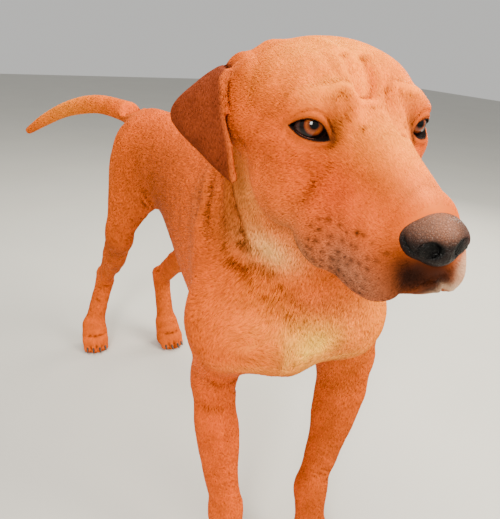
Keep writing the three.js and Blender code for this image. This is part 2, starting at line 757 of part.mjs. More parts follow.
// Neck, trunk and tail.
add("neck", part("neck", CELL.neck, dogForm, ["head"]), FINISH.coat);
add("tail", tube(TAIL, 12, 13).intersect(within("tail")), FINISH.coat);
let trunk = piece(dogForm, at(-160, -130, 250), at(160, 640, 600), CELL.trunk);
for (const name of Object.keys(REGION)) trunk = trunk.subtract(within(name, GAP));
const waist = block(at(-FAR, 300, -FAR), at(FAR, FAR, FAR));
add("chest", trunk.subtract(waist), FINISH.coat);
add("loin", trunk.intersect(block(at(-FAR, 300 + GAP, -FAR), at(FAR, FAR, FAR))), FINISH.coat);

// Legs, paws and claws.
const pawForms = (side, legs, toes) => melt(10, dogForm, pawForm(legs[side].knuckle, toes[side]));
for (const name of Object.keys(SIDES)) {
  const upper = ["neck"];
  add(`shoulder_${name}`, part(`shoulder_${name}`, CELL.leg, dogForm, upper), FINISH.coat);
  add(`forearm_${name}`, part(`forearm_${name}`, CELL.leg, dogForm), FINISH.coat);
  add(`thigh_${name}`, part(`thigh_${name}`, CELL.thigh, dogForm), FINISH.coat);
  add(`shank_${name}`, part(`shank_${name}`, CELL.leg, dogForm), FINISH.coat);
  for (const [kind, legs, toes, length] of [["forepaw", FORELEG, FORE_TOES, 11], ["hindpaw", HINDLEG, HIND_TOES, 11]]) {
    let paw = part(`${kind}_${name}`, CELL.paw, pawForms(name, legs, toes)).subtract(floor);
    toes[name].forEach((toe, i) => {
      paw = paw.subtract(claw(toe, length, GAP + 0.1));
      add(`${kind}_${name}_claw_${i + 1}`, claw(toe, length), FINISH.claw);
    });
    add(`${kind}_${name}`, paw, FINISH.coat);
  }
}

// The origin lies on the floor under the middle of the dog's box.
dog.updateMatrixWorld();
const middle = new THREE.Box3().setFromObject(dog).getCenter(at(0, 0, 0));
dog.position.set(-middle.x, -middle.y, 0);

export default dog;
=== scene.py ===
"""A standing, short-coated dog of retriever type: skin, coat, eyes, nose and claws on its solids."""

import logging
import math
from dataclasses import dataclass, field
from enum import Enum
from typing import Callable, Protocol, Sequence

import bmesh
import bpy
import numpy as np
from mathutils import Matrix, Vector
from mathutils.bvhtree import BVHTree


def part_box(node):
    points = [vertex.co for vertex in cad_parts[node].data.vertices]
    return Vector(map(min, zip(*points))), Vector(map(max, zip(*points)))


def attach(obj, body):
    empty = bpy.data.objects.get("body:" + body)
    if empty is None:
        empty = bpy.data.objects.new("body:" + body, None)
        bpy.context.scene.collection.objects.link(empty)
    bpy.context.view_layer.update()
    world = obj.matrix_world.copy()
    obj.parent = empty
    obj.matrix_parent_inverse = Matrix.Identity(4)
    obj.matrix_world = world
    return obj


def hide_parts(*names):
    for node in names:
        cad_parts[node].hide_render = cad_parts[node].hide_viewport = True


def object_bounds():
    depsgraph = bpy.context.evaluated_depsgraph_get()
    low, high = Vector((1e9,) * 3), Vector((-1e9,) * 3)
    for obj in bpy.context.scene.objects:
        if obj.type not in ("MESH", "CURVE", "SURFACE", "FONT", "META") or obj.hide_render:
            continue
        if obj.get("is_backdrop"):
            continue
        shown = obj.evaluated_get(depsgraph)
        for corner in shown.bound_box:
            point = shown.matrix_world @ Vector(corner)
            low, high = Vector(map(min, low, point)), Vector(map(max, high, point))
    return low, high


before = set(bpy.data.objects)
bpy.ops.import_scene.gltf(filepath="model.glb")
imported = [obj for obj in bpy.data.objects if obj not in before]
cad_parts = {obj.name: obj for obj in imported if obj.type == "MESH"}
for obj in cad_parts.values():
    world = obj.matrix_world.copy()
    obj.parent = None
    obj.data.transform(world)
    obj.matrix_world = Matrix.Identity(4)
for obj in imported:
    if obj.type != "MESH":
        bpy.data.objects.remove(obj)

log = logging.getLogger("dog")

Array = np.ndarray
Piece = bpy.types.Object
Point = tuple[float, float, float]
Colour = tuple[float, float, float]

MM = 0.001  # one millimetre, in metres; the forms below are in millimetres, the pieces in metres
FAR = 900.0  # a distance larger than any that matters
TINY = 1e-9  # a length too small to divide by
RIGHT = -1
LEFT = 1
SIDES = {"right": RIGHT, "left": LEFT}


# ---- forms
class Form(Protocol):
    """A solid form, known by its distance: negative inside and positive outside, in millimetres."""

    def distance(self, points: Array) -> Array:
        """Return the distance of each point from the form's surface."""


@dataclass(frozen=True)
class Taper:
    """A limb segment that tapers between two points, narrowed along X by `flat`."""

    start: Point
    end: Point
    start_radius: float
    end_radius: float
    flat: float = 1.0

    def distance(self, points: Array) -> Array:
        """Measure points from the surface.

        Args:
            points: places in the form's own frame, in millimetres.

        Returns:
            Each one's distance from the segment's surface.
        """
        share, offset = from_run(points, self.start, self.end)
        offset[:, 0] /= self.flat
        radius = self.start_radius + (self.end_radius - self.start_radius) * share
        return (np.linalg.norm(offset, axis=1) - radius) * min(1.0, self.flat)


@dataclass(frozen=True)
class Lump:
    """An ellipsoid with radii along X, Y and Z."""

    centre: Point
    radii: Point

    def distance(self, points: Array) -> Array:
        """Measure points from the surface.

        Args:
            points: places in the form's own frame, in millimetres.

        Returns:
            Each one's distance from the ellipsoid's surface, nearly.
        """
        scaled = (points - np.array(self.centre)) / np.array(self.radii)
        reach = np.linalg.norm(scaled, axis=1)
        slope = np.linalg.norm(scaled / np.array(self.radii), axis=1)
        return reach * (reach - 1.0) / np.maximum(slope, 1e-6)


@dataclass(frozen=True)
class Station:
    """A section of a barrel: its place along Y, back line, belly line, half width and middle."""

    y: float
    top: float
    base: float
    half: float
    x: float = 0.0


def stations(*rows: Sequence[float]) -> tuple[Station, ...]:
    """Return a barrel's stations from rows of their sizes."""
    return tuple(Station(*row) for row in rows)


@dataclass(frozen=True)
class Barrel:
    """A body along Y through stations. `square` above 2 flattens the sides of its sections."""

    stations: tuple[Station, ...]
    square: float = 2.0

    def distance(self, points: Array) -> Array:
        """Measure points from the surface.

        Args:
            points: places in the form's own frame, in millimetres.

        Returns:
            Each one's distance from the barrel's surface, nearly.
        """
        places = [station.y for station in self.stations]
        y = np.clip(points[:, 1], places[0], places[-1])
        top, base, half, middle = (
            smooth_line(places, [getattr(station, key) for station in self.stations], y)
            for key in ("top", "base", "half", "x")
        )
        tall = (top - base) / 2
        across = np.abs((points[:, 0] - middle) / half) ** self.square
        upward = np.abs((points[:, 2] - (top + base) / 2) / tall) ** self.square
        radial = ((across + upward) ** (1 / self.square) - 1) * np.minimum(half, tall)
        past = np.abs(points[:, 1] - y)
        beyond = np.hypot(np.maximum(radial, 0), past) + np.minimum(radial, 0) * 0.2
        return np.where(past > 0, beyond, radial)


@dataclass(frozen=True)
class Melt:
    """Forms melted together over a width."""

    width: float
    forms: tuple[Form, ...]

    def distance(self, points: Array) -> Array:
        """Measure points from the surface.

        Args:
            points: places in the form's own frame, in millimetres.

        Returns:
            Each one's distance from the joined surface.
        """
        least = np.full(len(points), FAR)
        for form in self.forms:
            least = melted(least, form.distance(points), self.width)
        return least


@dataclass(frozen=True)
class Scoop:
    """A form with another scooped out of it, the rim softened over a width."""

    form: Form
    cutter: Form
    width: float

    def distance(self, points: Array) -> Array:
        """Return the distance of each point from what is left."""
        return -melted(-self.form.distance(points), self.cutter.distance(points), self.width)


@dataclass(frozen=True)
class Placed:
    """A form carried from its own frame to the dog's."""

    form: Form
    place: Matrix

    def distance(self, points: Array) -> Array:
        """Return the distance of each point from the carried form."""
        return self.form.distance(carry(points, self.place.inverted()))


@dataclass(frozen=True)
class Nearby:
    """A form that is worked out only in and near its own box, and is far away elsewhere."""

    form: Form
    low: Point
    high: Point

    def distance(self, points: Array) -> Array:
        """Measure points from the surface.

        Args:
            points: places in the form's own frame, in millimetres.

        Returns:
            Each one's distance from the form, or a large one outside the box.
        """
        inside = ((points > np.array(self.low)) & (points < np.array(self.high))).all(axis=1)
        found = np.full(len(points), FAR)
        if inside.any():
            found[inside] = self.form.distance(points[inside])
        return found


def melted(one: Array, other: Array, width: float) -> Array:
    """Return the lesser of two distances, rounded where they are within a width of each other."""
    share = np.maximum(width - np.abs(one - other), 0) / width
    return np.minimum(one, other) - share * share * width / 4


def from_run(points: Array, start: Point, end: Point) -> tuple[Array, Array]:
    """Find points' places beside a straight run.

    Args:
        points: the points.
        start: where the run begins.
        end: where it ends.

    Returns:
        How far along the run each point lies, from 0 to 1, and its offset from there.
    """
    run = np.subtract(end, start)
    offset = points - np.array(start)
    share = np.clip(offset @ run / (run @ run), 0.0, 1.0)
    return share, offset - share[:, None] * run


def line_distance(points: Array, line: Sequence[Point]) -> Array:
    """Measure points from a line through corners.

    Args:
        points: the points.
        line: the line's corners.

    Returns:
        Each point's distance from the line.
    """
    nearest = np.full(len(points), FAR)
    for start, end in zip(line, line[1:]):
        nearest = np.minimum(nearest, np.linalg.norm(from_run(points, start, end)[1], axis=1))
    return nearest


def bell(value: Array, width: float) -> Array:
    """Return a smooth bump: 1 where the value is zero, and nearly 0 two widths away."""
    return np.exp(-((value / width) ** 2))


def smooth_line(places: Sequence[float], values: Sequence[float], at: Array) -> Array:
    """Read a smooth line through points.

    Args:
        places: where the points are, in rising order.
        values: the line's height at each.
        at: where to read it.

    Returns:
        The line's height at each place asked for.
    """
    x = np.array(places, float)
    v = np.array(values, float)
    slope = np.gradient(v, x)
    cell = np.clip(np.searchsorted(x, at, side="right") - 1, 0, len(x) - 2)
    width = x[cell + 1] - x[cell]
    t = np.clip((at - x[cell]) / width, 0, 1)
    start = (1 + 2 * t) * (1 - t) ** 2 * v[cell] + t * (1 - t) ** 2 * width * slope[cell]
    end = t * t * (3 - 2 * t) * v[cell + 1] + t * t * (t - 1) * width * slope[cell + 1]
    return start + end


def carry(points: Array, place: Matrix) -> Array:
    """Return points carried by a matrix."""
    return points @ np.array(place.to_3x3()).T + np.array(place.translation)


def turn(vectors: Array, place: Matrix) -> Array:
    """Return directions turned by a matrix, without its shift."""
    return vectors @ np.array(place.to_3x3()).T


def both(make: Callable[[int], Form]) -> tuple[Form, Form]:
    """Return both of a pair of forms, from a function of the side."""
    return make(RIGHT), make(LEFT)


def smoothstep(value: Array, low: float, high: float) -> Array:
    """Return 0 below low, 1 above high and a smooth rise between; low above high turns it round."""
    t = np.clip((value - low) / (high - low), 0, 1)
    return t * t * (3 - 2 * t)


def unit(vectors: Array) -> Array:
    """Return vectors of length one."""
    return vectors / np.maximum(np.linalg.norm(vectors, axis=1), TINY)[:, None]


@dataclass(frozen=True)
class Drawing:
    """How a mesh is drawn onto a form: in rounds of short steps, evened out between them."""

    rounds: int
    reach: float  # the longest step, in millimetres
    probe: float  # how far off the form's slope is felt, in millimetres
    gentle: float  # the least squared slope that is believed

    def onto(self, form: Form, points: Array, links: Array, pull: Array, ease: Array) -> Array:
        """Draw points onto a form.

        Args:
            form: the form.
            points: the mesh's vertices.
            links: the two vertices of every edge.
            pull: how far each vertex follows the form, from 0 to 1.
            ease: how far each vertex moves to its neighbours' mean between two rounds.

        Returns:
            The vertices on the form.
        """
        for number in range(self.rounds):
            here = form.distance(points)
            felt = [form.distance(points + self.probe * axis) - here for axis in np.eye(3)]
            rise = np.stack(felt, axis=1) / self.probe
            step = rise * (here / np.maximum((rise * rise).sum(axis=1), self.gentle))[:, None]
            length = np.linalg.norm(step, axis=1)
            step *= (np.minimum(length, self.reach) / np.maximum(length, TINY))[:, None]
            points = points - step * pull[:, None]
            if number < self.rounds - 1:
                points = eased(points, links, ease)
        return points


# ---- the dog's body
@dataclass(frozen=True)
class Leg:
    """The joints of a leg, in millimetres."""

    side: int
    top: Point
    bend: Point
    knuckle: Point
    hip: Point = (0.0, 0.0, 0.0)
    heading: float = 0.0
    reach: float = 34.0


@dataclass(frozen=True)
class Toe:
    """One toe: where it begins, its arch and its tip, and the way that it points."""

    root: Point
    arch: Point
    tip: Point
    forward: Point


def shifted(point: Point, x: float = 0.0, y: float = 0.0, z: float = 0.0) -> Point:
    """Return a point moved by the given amounts."""
    return (point[0] + x, point[1] + y, point[2] + z)


def between(a: Point, b: Point, share: float) -> Point:
    """Return the point that share of the way from one point to another."""
    return tuple(np.add(a, np.multiply(np.subtract(b, a), share)))


@dataclass(frozen=True)
class Body:
    """The dog's form in millimetres, with X its left, Y its rear and Z up, as its solids have it."""

    withers: float = 564.0
    rump: float = 546.0
    elbow: float = 290.0
    carpus: float = 120.0
    stifle: float = 322.0
    hock: float = 150.0
    knuckle: float = 36.0
    toe_radius: float = 9.2
    toe_gap: float = 14.0
    eye_spread: float = 37.5
    eye_depth: float = 10.0
    eye_radius: float = 12.0
    eye_turn: float = 24.0
    nose: Point = (0.0, -91.0, -40.0)
    head_centre: Point = (-67.3, -133.8, 622.0)
    head_turns: Point = (-11.38, 4.51, -2.92)  # to its right, down and over, in degrees

    @property
    def head_place(self) -> Matrix:
        """The head's own frame: origin between the corneas, nose towards -Y."""
        turned, down, over = (
            Matrix.Rotation(math.radians(angle), 4, axis) for angle, axis in zip(self.head_turns, "ZXY")
        )
        return Matrix.Translation(self.head_centre) @ turned @ (down @ over)

    def in_head(self, x: float, y: float, z: float) -> Point:
        """Return a point of the head's frame in the dog's."""
        return tuple(self.head_place @ Vector((x, y, z)))

    def head_frame(self, points: Array) -> Array:
        """Return points of the dog's frame in the head's."""
        return carry(points, self.head_place.inverted())

    @property
    def forelegs(self) -> dict[str, Leg]:
        """Both forelegs."""
        return {
            "right": Leg(RIGHT, (-86, 36, self.elbow), (-75, 14, self.carpus), (-74, 2, self.knuckle),
                         heading=-4),
            "left": Leg(LEFT, (101, 24, self.elbow), (43, -6, self.carpus), (44, -18, self.knuckle),
                        heading=2),
        }

    @property
    def hindlegs(self) -> dict[str, Leg]:
        """Both hind legs."""
        return {
            "right": Leg(RIGHT, (-72, 462, self.stifle), (-55, 655, self.hock), (-91, 640, self.knuckle),
                         hip=(-40, 494, 460), heading=-8, reach=27),
            "left": Leg(LEFT, (76, 430, self.stifle), (60, 610, self.hock), (63, 588, self.knuckle),
                        hip=(40, 490, 460), heading=4, reach=27),
        }

    @property
    def tail_line(self) -> tuple[tuple[Point, float], ...]:
        """Points along the tail's middle with its radius, from inside the rump to the tip."""
        return (
            ((0, 530, 508), 26), ((-12, 566, 522), 20), ((-28, 602, 528), 17.5),
            ((-52, 650, 530), 16.5), ((-76, 700, 521), 15.5), ((-104, 752, 503), 13),
            ((-134, 806, 475), 10.5), ((-160, 854, 446), 6.5),
        )

    def trunk(self) -> Form:
        """Return the trunk with its shoulders and breast."""
        ribs = stations(
            (-64, 440, 396, 34, -7), (-44, 480, 366, 66, -8), (0, 528, 329, 85, -9),
            (60, self.withers - 4, 305, 91, -9), (130, self.withers, 292, 85, -1), (200, 551, 308, 78, 5),
            (260, 545, 338, 69, 6), (330, 543, 374, 60, 5), (400, 546, 394, 60, 1),
            (460, self.rump, 400, 63), (520, 536, 420, 47), (552, 512, 446, 30), (568, 490, 464, 16),
        )
        forms = (
            Barrel(ribs),
            Taper((-46, 96, 510), (-88, 8, 404), 36, 48, 0.8),
            Taper((-91, 6, 398), (-84, 44, 322), 46, 29, 0.85),
            Taper((40, 96, 510), (60, 0, 402), 36, 38, 0.8),
            Taper((68, 0, 390), (92, 26, 310), 39, 40, 0.9),
            *both(lambda s: Lump((s * 37 - 6, -32, 392), (42, 36, 40))),
        )
        return Nearby(Melt(24, forms), (-210, -150, 180), (210, 700, 660))

    def skull(self) -> Form:
        """Return the skull and the bridge of the muzzle, with brows and the bone under each eye."""
        profile = stations(
            (-93, -36, -62, 14), (-86, -23, -70, 20), (-70, -14, -76, 20), (-45, -2, -78, 20),
            (-20, 9, -78, 25), (0, 21, -76, 39), (15, 33, -66, 51), (35, 42, -58, 60),
            (62, 47, -56, 65), (92, 47, -54, 64), (118, 37, -50, 55), (138, 18, -40, 36),
        )
        forms = (
            Barrel(profile, 2.4),
            *both(lambda s: Lump((s * 38, 12, 9), (14, 14, 10))),
            *both(lambda s: Lump((s * 40, 13, -15), (13, 16, 9))),
        )
        return Melt(15, forms)

    def head(self) -> Form:
        """Return the head in the dog's frame."""
        forms = (
            self.skull(),
            *both(lambda s: Taper((s * 18, -14, -44), (s * 12, -78, -52), 17, 15)),
            *both(lambda s: Lump((s * 22, -48, -67), (13, 44, 26))),
            *both(lambda s: Lump((s * 30, -6, -67), (17, 36, 29))),
            *both(lambda s: Taper((s * 50, 22, -18), (s * 57, 70, -14), 11, 14)),
            *both(lambda s: Lump((s * 38, 46, -44), (26, 44, 42))),
            *both(lambda s: Lump((s * 60, 92, 0), (14, 26, 32))),
            *both(lambda s: Taper((s * 36, 102, 31), (s * 60, 103, 18), 12, 10)),
            *both(lambda s: Lump((s * 61, 98, -3), (14, 19, 36))),
            Taper((0, -20, -70), (0, -78, -65), 18, 14),
            Lump((4, -84, -66), (17, 12, 11)),
            Taper((0, 14, -62), (0, 90, -56), 34, 48),
        )
        furrow = Lump((0, 0, 40), (7, 24, 16))
        whole = Placed(Scoop(Melt(9, forms), furrow, 14), self.head_place)
        return Nearby(whole, (-210, -290, 470), (80, 70, 730))

    def neck(self) -> Form:
        """Return the neck."""
        forms = (
            Taper((-4, 50, 470), self.in_head(0, 96, -24), 84, 56, 0.97),
            Taper((0, 90, 515), self.in_head(0, 108, -8), 46, 40),
            Taper((0, -18, 430), self.in_head(0, 66, -56), 60, 44),
        )
        return Nearby(Melt(24, forms), (-220, -200, 320), (180, 220, 740))

    def foreleg(self, leg: Leg) -> Form:
        """Shape one foreleg.

        Args:
            leg: the leg's joints.

        Returns:
            Its form, down to the knuckles.
        """
        elbow, carpus, knuckle, side = leg.top, leg.bend, leg.knuckle, leg.side
        full = side == LEFT  # the left foreleg bears more of the weight and stands fuller
        upper, belly, middle, calf = (between(elbow, carpus, share) for share in (0.2, 0.25, 0.3, 0.42))
        forms = (
            Taper(shifted(elbow, 0, 6, 4), calf, 28 + 8 * full, 23 + 4 * full, 0.88),
            Taper(shifted(upper, side * 10, -5), shifted(between(elbow, carpus, 0.75), side * 5),
                  21 + 4 * full, 17, 0.9),
            Taper(middle, carpus, 22 + 2 * full, 17.5, 0.94),
            Taper(shifted(elbow, 0, 27, 2), belly, 14, 14),
            Lump(shifted(carpus, 0, -3, 2), (15.5, 17.5, 36)),
            Taper(carpus, shifted(knuckle, 0, 0, 4), 18, 19, 1.08),
            Lump(shifted(carpus, side * 2, 18, -20), (8, 8, 9)),
        )
        low = (min(elbow[0], carpus[0]) - 90, -110, -40)
        return Nearby(Melt(12, forms), low, (max(elbow[0], carpus[0]) + 90, 150, 400))

    def hindleg(self, leg: Leg) -> Form:
        """Shape one hind leg.

        Args:
            leg: the leg's joints.

        Returns:
            Its form, down to the knuckles.
        """
        stifle, hock, knuckle, hip = leg.top, leg.bend, leg.knuckle, leg.hip
        gaskin, upper, middle, lower = (between(stifle, hock, share) for share in (0.30, 0.4, 0.55, 0.6))
        heel = shifted(hock, 0, 22, 10)
        forms = (
            Taper(shifted(hip, 0, -24), shifted(stifle, 0, 14, 16), 60, 31, 0.6),
            Taper(shifted(hip, leg.side * 4, 18, -26), gaskin, 43, 24, 0.62),
            Taper(shifted(stifle, 0, 8), middle, 28, 18, 0.8),
            Taper(upper, hock, 20, 14, 0.82),
            Taper((leg.side * 46, 414, 410), shifted(stifle, 0, -2, 12), 30, 19, 0.6),
            Taper(shifted(lower, 0, 15, 8), heel, 9, 9),
            Taper(heel, shifted(knuckle, 0, 6, 20), 10, 12, 0.95),
            Taper(hock, shifted(knuckle, 0, 0, 4), 15, 17, 1.02),
        )
        low = (min(stifle[0], knuckle[0]) - 80, 340, -40)
        return Nearby(Melt(16, forms), low, (max(stifle[0], knuckle[0], hip[0]) + 80, 740, 620))

    def toes(self, leg: Leg) -> tuple[Toe, ...]:
        """Place the toes of one leg.

        Args:
            leg: the leg's joints.

        Returns:
            The paw's four toes, from its right to its left.
        """
        made = []
        root_height, arch_height, tip_height, root_ahead = 29.0, 24.0, 7.5, 12
        heading = math.radians(leg.heading)
        for aside, ahead, splay in ((-0.9, 0.74, -9), (-0.32, 1, -3), (0.32, 1, 3), (0.9, 0.74, 9)):
            facing = math.radians(leg.heading + splay)
            forward = (math.sin(facing), -math.cos(facing), 0.0)
            x = leg.knuckle[0] + math.cos(heading) * aside * self.toe_gap + forward[0] * root_ahead
            y = leg.knuckle[1] + math.sin(heading) * aside * self.toe_gap + forward[1] * root_ahead
            root = (x, y, root_height)
            tip = (x + forward[0] * leg.reach * ahead, y + forward[1] * leg.reach * ahead, root_height)
            arch = between(root, tip, 0.55)
            made.append(Toe(root, (*arch[:2], arch_height), (*tip[:2], tip_height), forward))
        return tuple(made)

    def paw(self, leg: Leg) -> Form:
        """Shape one paw with its pads and toes.

        Args:
            leg: the leg's joints.

        Returns:
            The form of its paw.
        """
        top = shifted(leg.knuckle, 0, 0, 14)
        bulk = Melt(12, (Taper(top, shifted(leg.knuckle, 0, -8, 2), 21, 23, 1.15),
                         Lump(shifted(leg.knuckle, 0, -8, -22), (25, 27, 21))))
        forms: list[Form] = [bulk]
        for toe in self.toes(leg):
            forms.append(Taper(toe.root, toe.arch, self.toe_radius + 1, self.toe_radius))
            forms.append(Taper(toe.arch, toe.tip, self.toe_radius, self.toe_radius - 0.6))
        middle = np.array(leg.knuckle)
        return Nearby(Melt(7, tuple(forms)), tuple(middle - (80, 110, 90)), tuple(middle + (80, 80, 70)))

    def tail(self) -> Form:
        """Return the tail."""
        knots = np.arange(len(self.tail_line), dtype=float)
        steps = np.linspace(0, knots[-1], 29)
        columns = zip(*((*point, radius) for point, radius in self.tail_line))
        line = np.stack([smooth_line(knots, column, steps) for column in columns], axis=1)
        forms = tuple(Taper(tuple(a[:3]), tuple(b[:3]), a[3], b[3]) for a, b in zip(line, line[1:]))
        return Nearby(Melt(1.5, forms), (-240, 460, 380), (60, 930, 600))

    def regions(self) -> dict[str, Form]:
        """Return the forms that melt into the whole dog, by name."""
        found = {"trunk": self.trunk(), "neck": self.neck(), "head": self.head(), "tail": self.tail()}
        for name in SIDES:
            found[f"foreleg_{name}"] = self.foreleg(self.forelegs[name])
            found[f"hindleg_{name}"] = self.hindleg(self.hindlegs[name])
            found[f"forepaw_{name}"] = self.paw(self.forelegs[name])
            found[f"hindpaw_{name}"] = self.paw(self.hindlegs[name])
        return found

    def whole(self) -> Form:
        """Return the whole dog without its ears."""
        found = self.regions()
        paws = tuple(form for name, form in found.items() if "paw" in name)
        rest = tuple(form for name, form in found.items() if "paw" not in name)
        return Melt(10, (Melt(18, rest), *paws))


# ---- ears and eyes
@dataclass(frozen=True)
class Ear:
    """A hanging ear: its two edges from the top to the tip in the head's frame, for the +X side."""

    side: int
    flare: float = 1.0
    drop: float = 0.0
    front: tuple[Point, ...] = ((63, 83, 32), (71, 88, 18), (72, 80, -6), (70, 64, -32), (70, 57, -53))
    back: tuple[Point, ...] = ((61, 119, 25), (84, 132, 6), (102, 156, -25), (83, 106, -47), (71, 60, -56))
    thickness: float = 4.6
    bulge: float = 9.0
    stand_off: float = 5.0
    roll: float = 2.6
    wave: float = 1.1
    along: int = 34
    across: int = 18

    def edge(self, points: Sequence[Point], hangs: bool) -> Array:
        """Draw one edge of the ear.

        Args:
            points: the edge's corners.
            hangs: whether it swings with the flap's flare.

        Returns:
            Close points from the top to the tip.
        """
        placed = []
        for index, (x, y, z) in enumerate(points):
            if hangs and index > 0:
                x, z = 66 + (x - 66) * self.flare, z - 26 * (1 - self.flare)
            placed.append((x - 0.3 * self.drop, y, z - self.drop))
        knots = np.linspace(0, 1, len(placed))
        steps = np.linspace(0, 1, self.along + 1)
        return np.stack([smooth_line(knots, column, steps) for column in zip(*placed)], axis=1)

    def sheet(self) -> Array:
        """Return the middle surface of the flap as a grid of points in the head's frame."""
        front = self.edge(self.front, False)
        back = self.edge(self.back, True)
        t = np.linspace(0, 1, self.across + 1)
        grid = front[:, None] + (back - front)[:, None] * t[None, :, None]
        width = np.linalg.norm(back - front, axis=1)
        down = np.linspace(0, 1, self.along + 1)
        dome = np.sin(math.pi * t)[None, :] * np.minimum(width * 0.13, self.bulge)[:, None]
        grid[:, :, 0] += dome + self.stand_off * np.sin(math.pi * np.minimum(down, 0.5))[:, None]
        # The front edge rolls outwards, and the flap waves a little.
        roll = bell(t, 0.09)[None, :] * smoothstep(down, 0.02, 0.2)[:, None]
        grid[:, :, 0] += self.roll * roll
        fade = smoothstep(down, 0.1, 0.5) * (1 - down)
        grid[:, :, 0] += self.wave * np.sin(9 * t + 1.0)[None, :] * fade[:, None]
        # The root runs on into the head, so that the flap grows out of it.
        sunk = bell(down, 0.05)
        grid[:, :, 0] -= 7 * sunk[:, None]
        grid[:, :, 2] -= 4 * sunk[:, None]
        grid[:, :, 0] *= self.side
        return grid

    def build(self, body: Body) -> Piece:
        """Model the flap.

        Args:
            body: the dog's form.

        Returns:
            The flap as a closed shell in the dog's frame.
        """
        grid = self.sheet()
        rows, columns = grid.shape[:2]
        bpy.ops.mesh.primitive_grid_add(x_subdivisions=columns - 1, y_subdivisions=rows - 1, size=1)
        flap = bpy.context.object
        # The grid's own corners run across, then along.
        points = carry(grid.reshape(-1, 3), body.head_place)
        set_points(flap.data, points)
        solidify = flap.modifiers.new("thick", "SOLIDIFY")
        solidify.thickness = self.thickness * MM
        solidify.offset = 0.0
        apply_all(flap)
        outward(flap)
        return flap


@dataclass(frozen=True)
class Opening:
    """An eye's almond between its lids, seen along its line of sight, with X outwards and Z up."""

    outer: tuple[float, float]
    inner: tuple[float, float]
    upper: float
    lower: float

    @property
    def axis(self) -> tuple[float, Array, Array]:
        """Half the almond's length, its direction and its middle."""
        run = np.subtract(self.outer, self.inner)
        length = np.linalg.norm(run)
        return length / 2, run / length, np.add(self.outer, self.inner) / 2

    def lid(self, share: Array) -> Array:
        """Return how open the lids are at shares of the way from the middle to a corner, from 0 to 1."""
        return (1 - share ** 2.1) ** 0.95

    def outside(self, x: Array, z: Array) -> Array:
        """Measure points from the almond, seen from the front.

        Args:
            x: how far outwards each point lies.
            z: how far up.

        Returns:
            How far each lies outside the almond; negative inside it.
        """
        half, along, middle = self.axis
        u = (x - middle[0]) * along[0] + (z - middle[1]) * along[1]
        v = (z - middle[1]) * along[0] - (x - middle[0]) * along[1]
        share = np.clip(np.abs(u) / half, 0, 1)
        lid = np.where(v > 0, self.upper, self.lower) * self.lid(share)
        past = np.abs(u) - half
        return np.where(past > 0, np.hypot(past, v), (np.abs(v) - lid) * 0.92)

    def edge(self, count: int) -> Array:
        """Draw the almond.

        Args:
            count: how many points to make.

        Returns:
            The points, from the outer corner over the upper lid and back.
        """
        half, along, middle = self.axis
        angle = np.linspace(0, 2 * math.pi, count, endpoint=False)
        u = half * np.cos(angle)
        v = np.where(np.sin(angle) >= 0, self.upper, -self.lower) * self.lid(np.abs(np.cos(angle)))
        x = middle[0] + u * along[0] - v * along[1]
        z = middle[1] + u * along[1] + v * along[0]
        return np.stack([x, z], axis=1)


@dataclass(frozen=True)
class EyeFrame:
    """One eye's place, its gaze and the opening of its lids."""

    body: Body
    side: int
    opening: Opening
    gaze: Point  # in the eye's frame: X outwards, Y out of the head, Z up
    lid: float = 1.5
    reach: float = 26.0  # how far from the eye its lids and their colour go

    @property
    def place(self) -> Matrix:
        """The eye's frame in the dog's: X along the opening, Y out along its line of sight, Z up."""
        body = self.body
        centre = Matrix.Translation((self.side * body.eye_spread, body.eye_depth, 0))
        look = Matrix.Rotation(math.radians(self.side * body.eye_turn), 4, "Z")
        basis = Matrix(((self.side, 0, 0, 0), (0, -1, 0, 0), (0, 0, 1, 0), (0, 0, 0, 1)))
        return body.head_place @ centre @ look @ basis

    def dome(self, x: Array, z: Array, radius: float) -> Array:
        """Return how far forward a dome round the eye's centre stands, falling off past its edge."""
        height = np.sqrt(np.maximum(radius * radius - x * x - z * z, 0))
        return height - 4 * smoothstep(np.hypot(x, z), radius * 0.8, radius * 1.3)

    def seen(self, points: Array) -> tuple[Array, Array, Array]:
        """Look at points of the coat from the eye.

        Args:
            points: places in the dog's frame, in millimetres.

        Returns:
            The places in the eye's frame, which of them are near the lids, and how far each lies
            outside the opening.
        """
        local = carry(points, self.place.inverted())
        near = (np.hypot(local[:, 0], local[:, 2]) < self.reach) & (local[:, 1] > -8)
        return local, near, self.opening.outside(local[:, 0], local[:, 2])


def eye_frames(body: Body) -> tuple[EyeFrame, EyeFrame]:
    """Return both eyes: the right one and the left one."""
    return (
        EyeFrame(body, RIGHT, Opening((15.2, 0.2), (-12.2, -5.0), 9.6, 3.2), (-0.115, 0.945, 0.30)),
        EyeFrame(body, LEFT, Opening((13.0, -3.4), (-12.4, -3.0), 8.0, 5.2), (-0.33, 0.93, 0.165)),
    )


@dataclass(frozen=True)
class Fold:
    """A raised fold or a crease of the skin along a line; a crease has a height below zero."""

    line: tuple[Point, ...]
    height: float
    width: float
    on_head: bool = True
    rim: float = 0.0  # the share of a crease's depth that stands up on both sides of it

    def lift(self, points: Array) -> Array:
        """Raise or sink the skin along the fold.

        Args:
            points: places in the fold's own frame.

        Returns:
            How far the fold lifts each of them.
        """
        away = line_distance(points, self.line)
        lift = self.height * bell(away, self.width)
        if self.rim:
            lift -= self.rim * self.height * bell(away - 2 * self.width, self.width)
        return lift


def mirrored(line: Sequence[Point]) -> tuple[Point, ...]:
    """Return a line of the head's frame on its other side."""
    return tuple((-x, y, z) for x, y, z in line)


def fold_pair(line: Sequence[Point], height: float, width: float, rim: float = 0.0) -> tuple[Fold, Fold]:
    """Return a fold of the head and its mirror image, from the left one's line."""
    return Fold(mirrored(line), height, width, rim=rim), Fold(line, height, width, rim=rim)


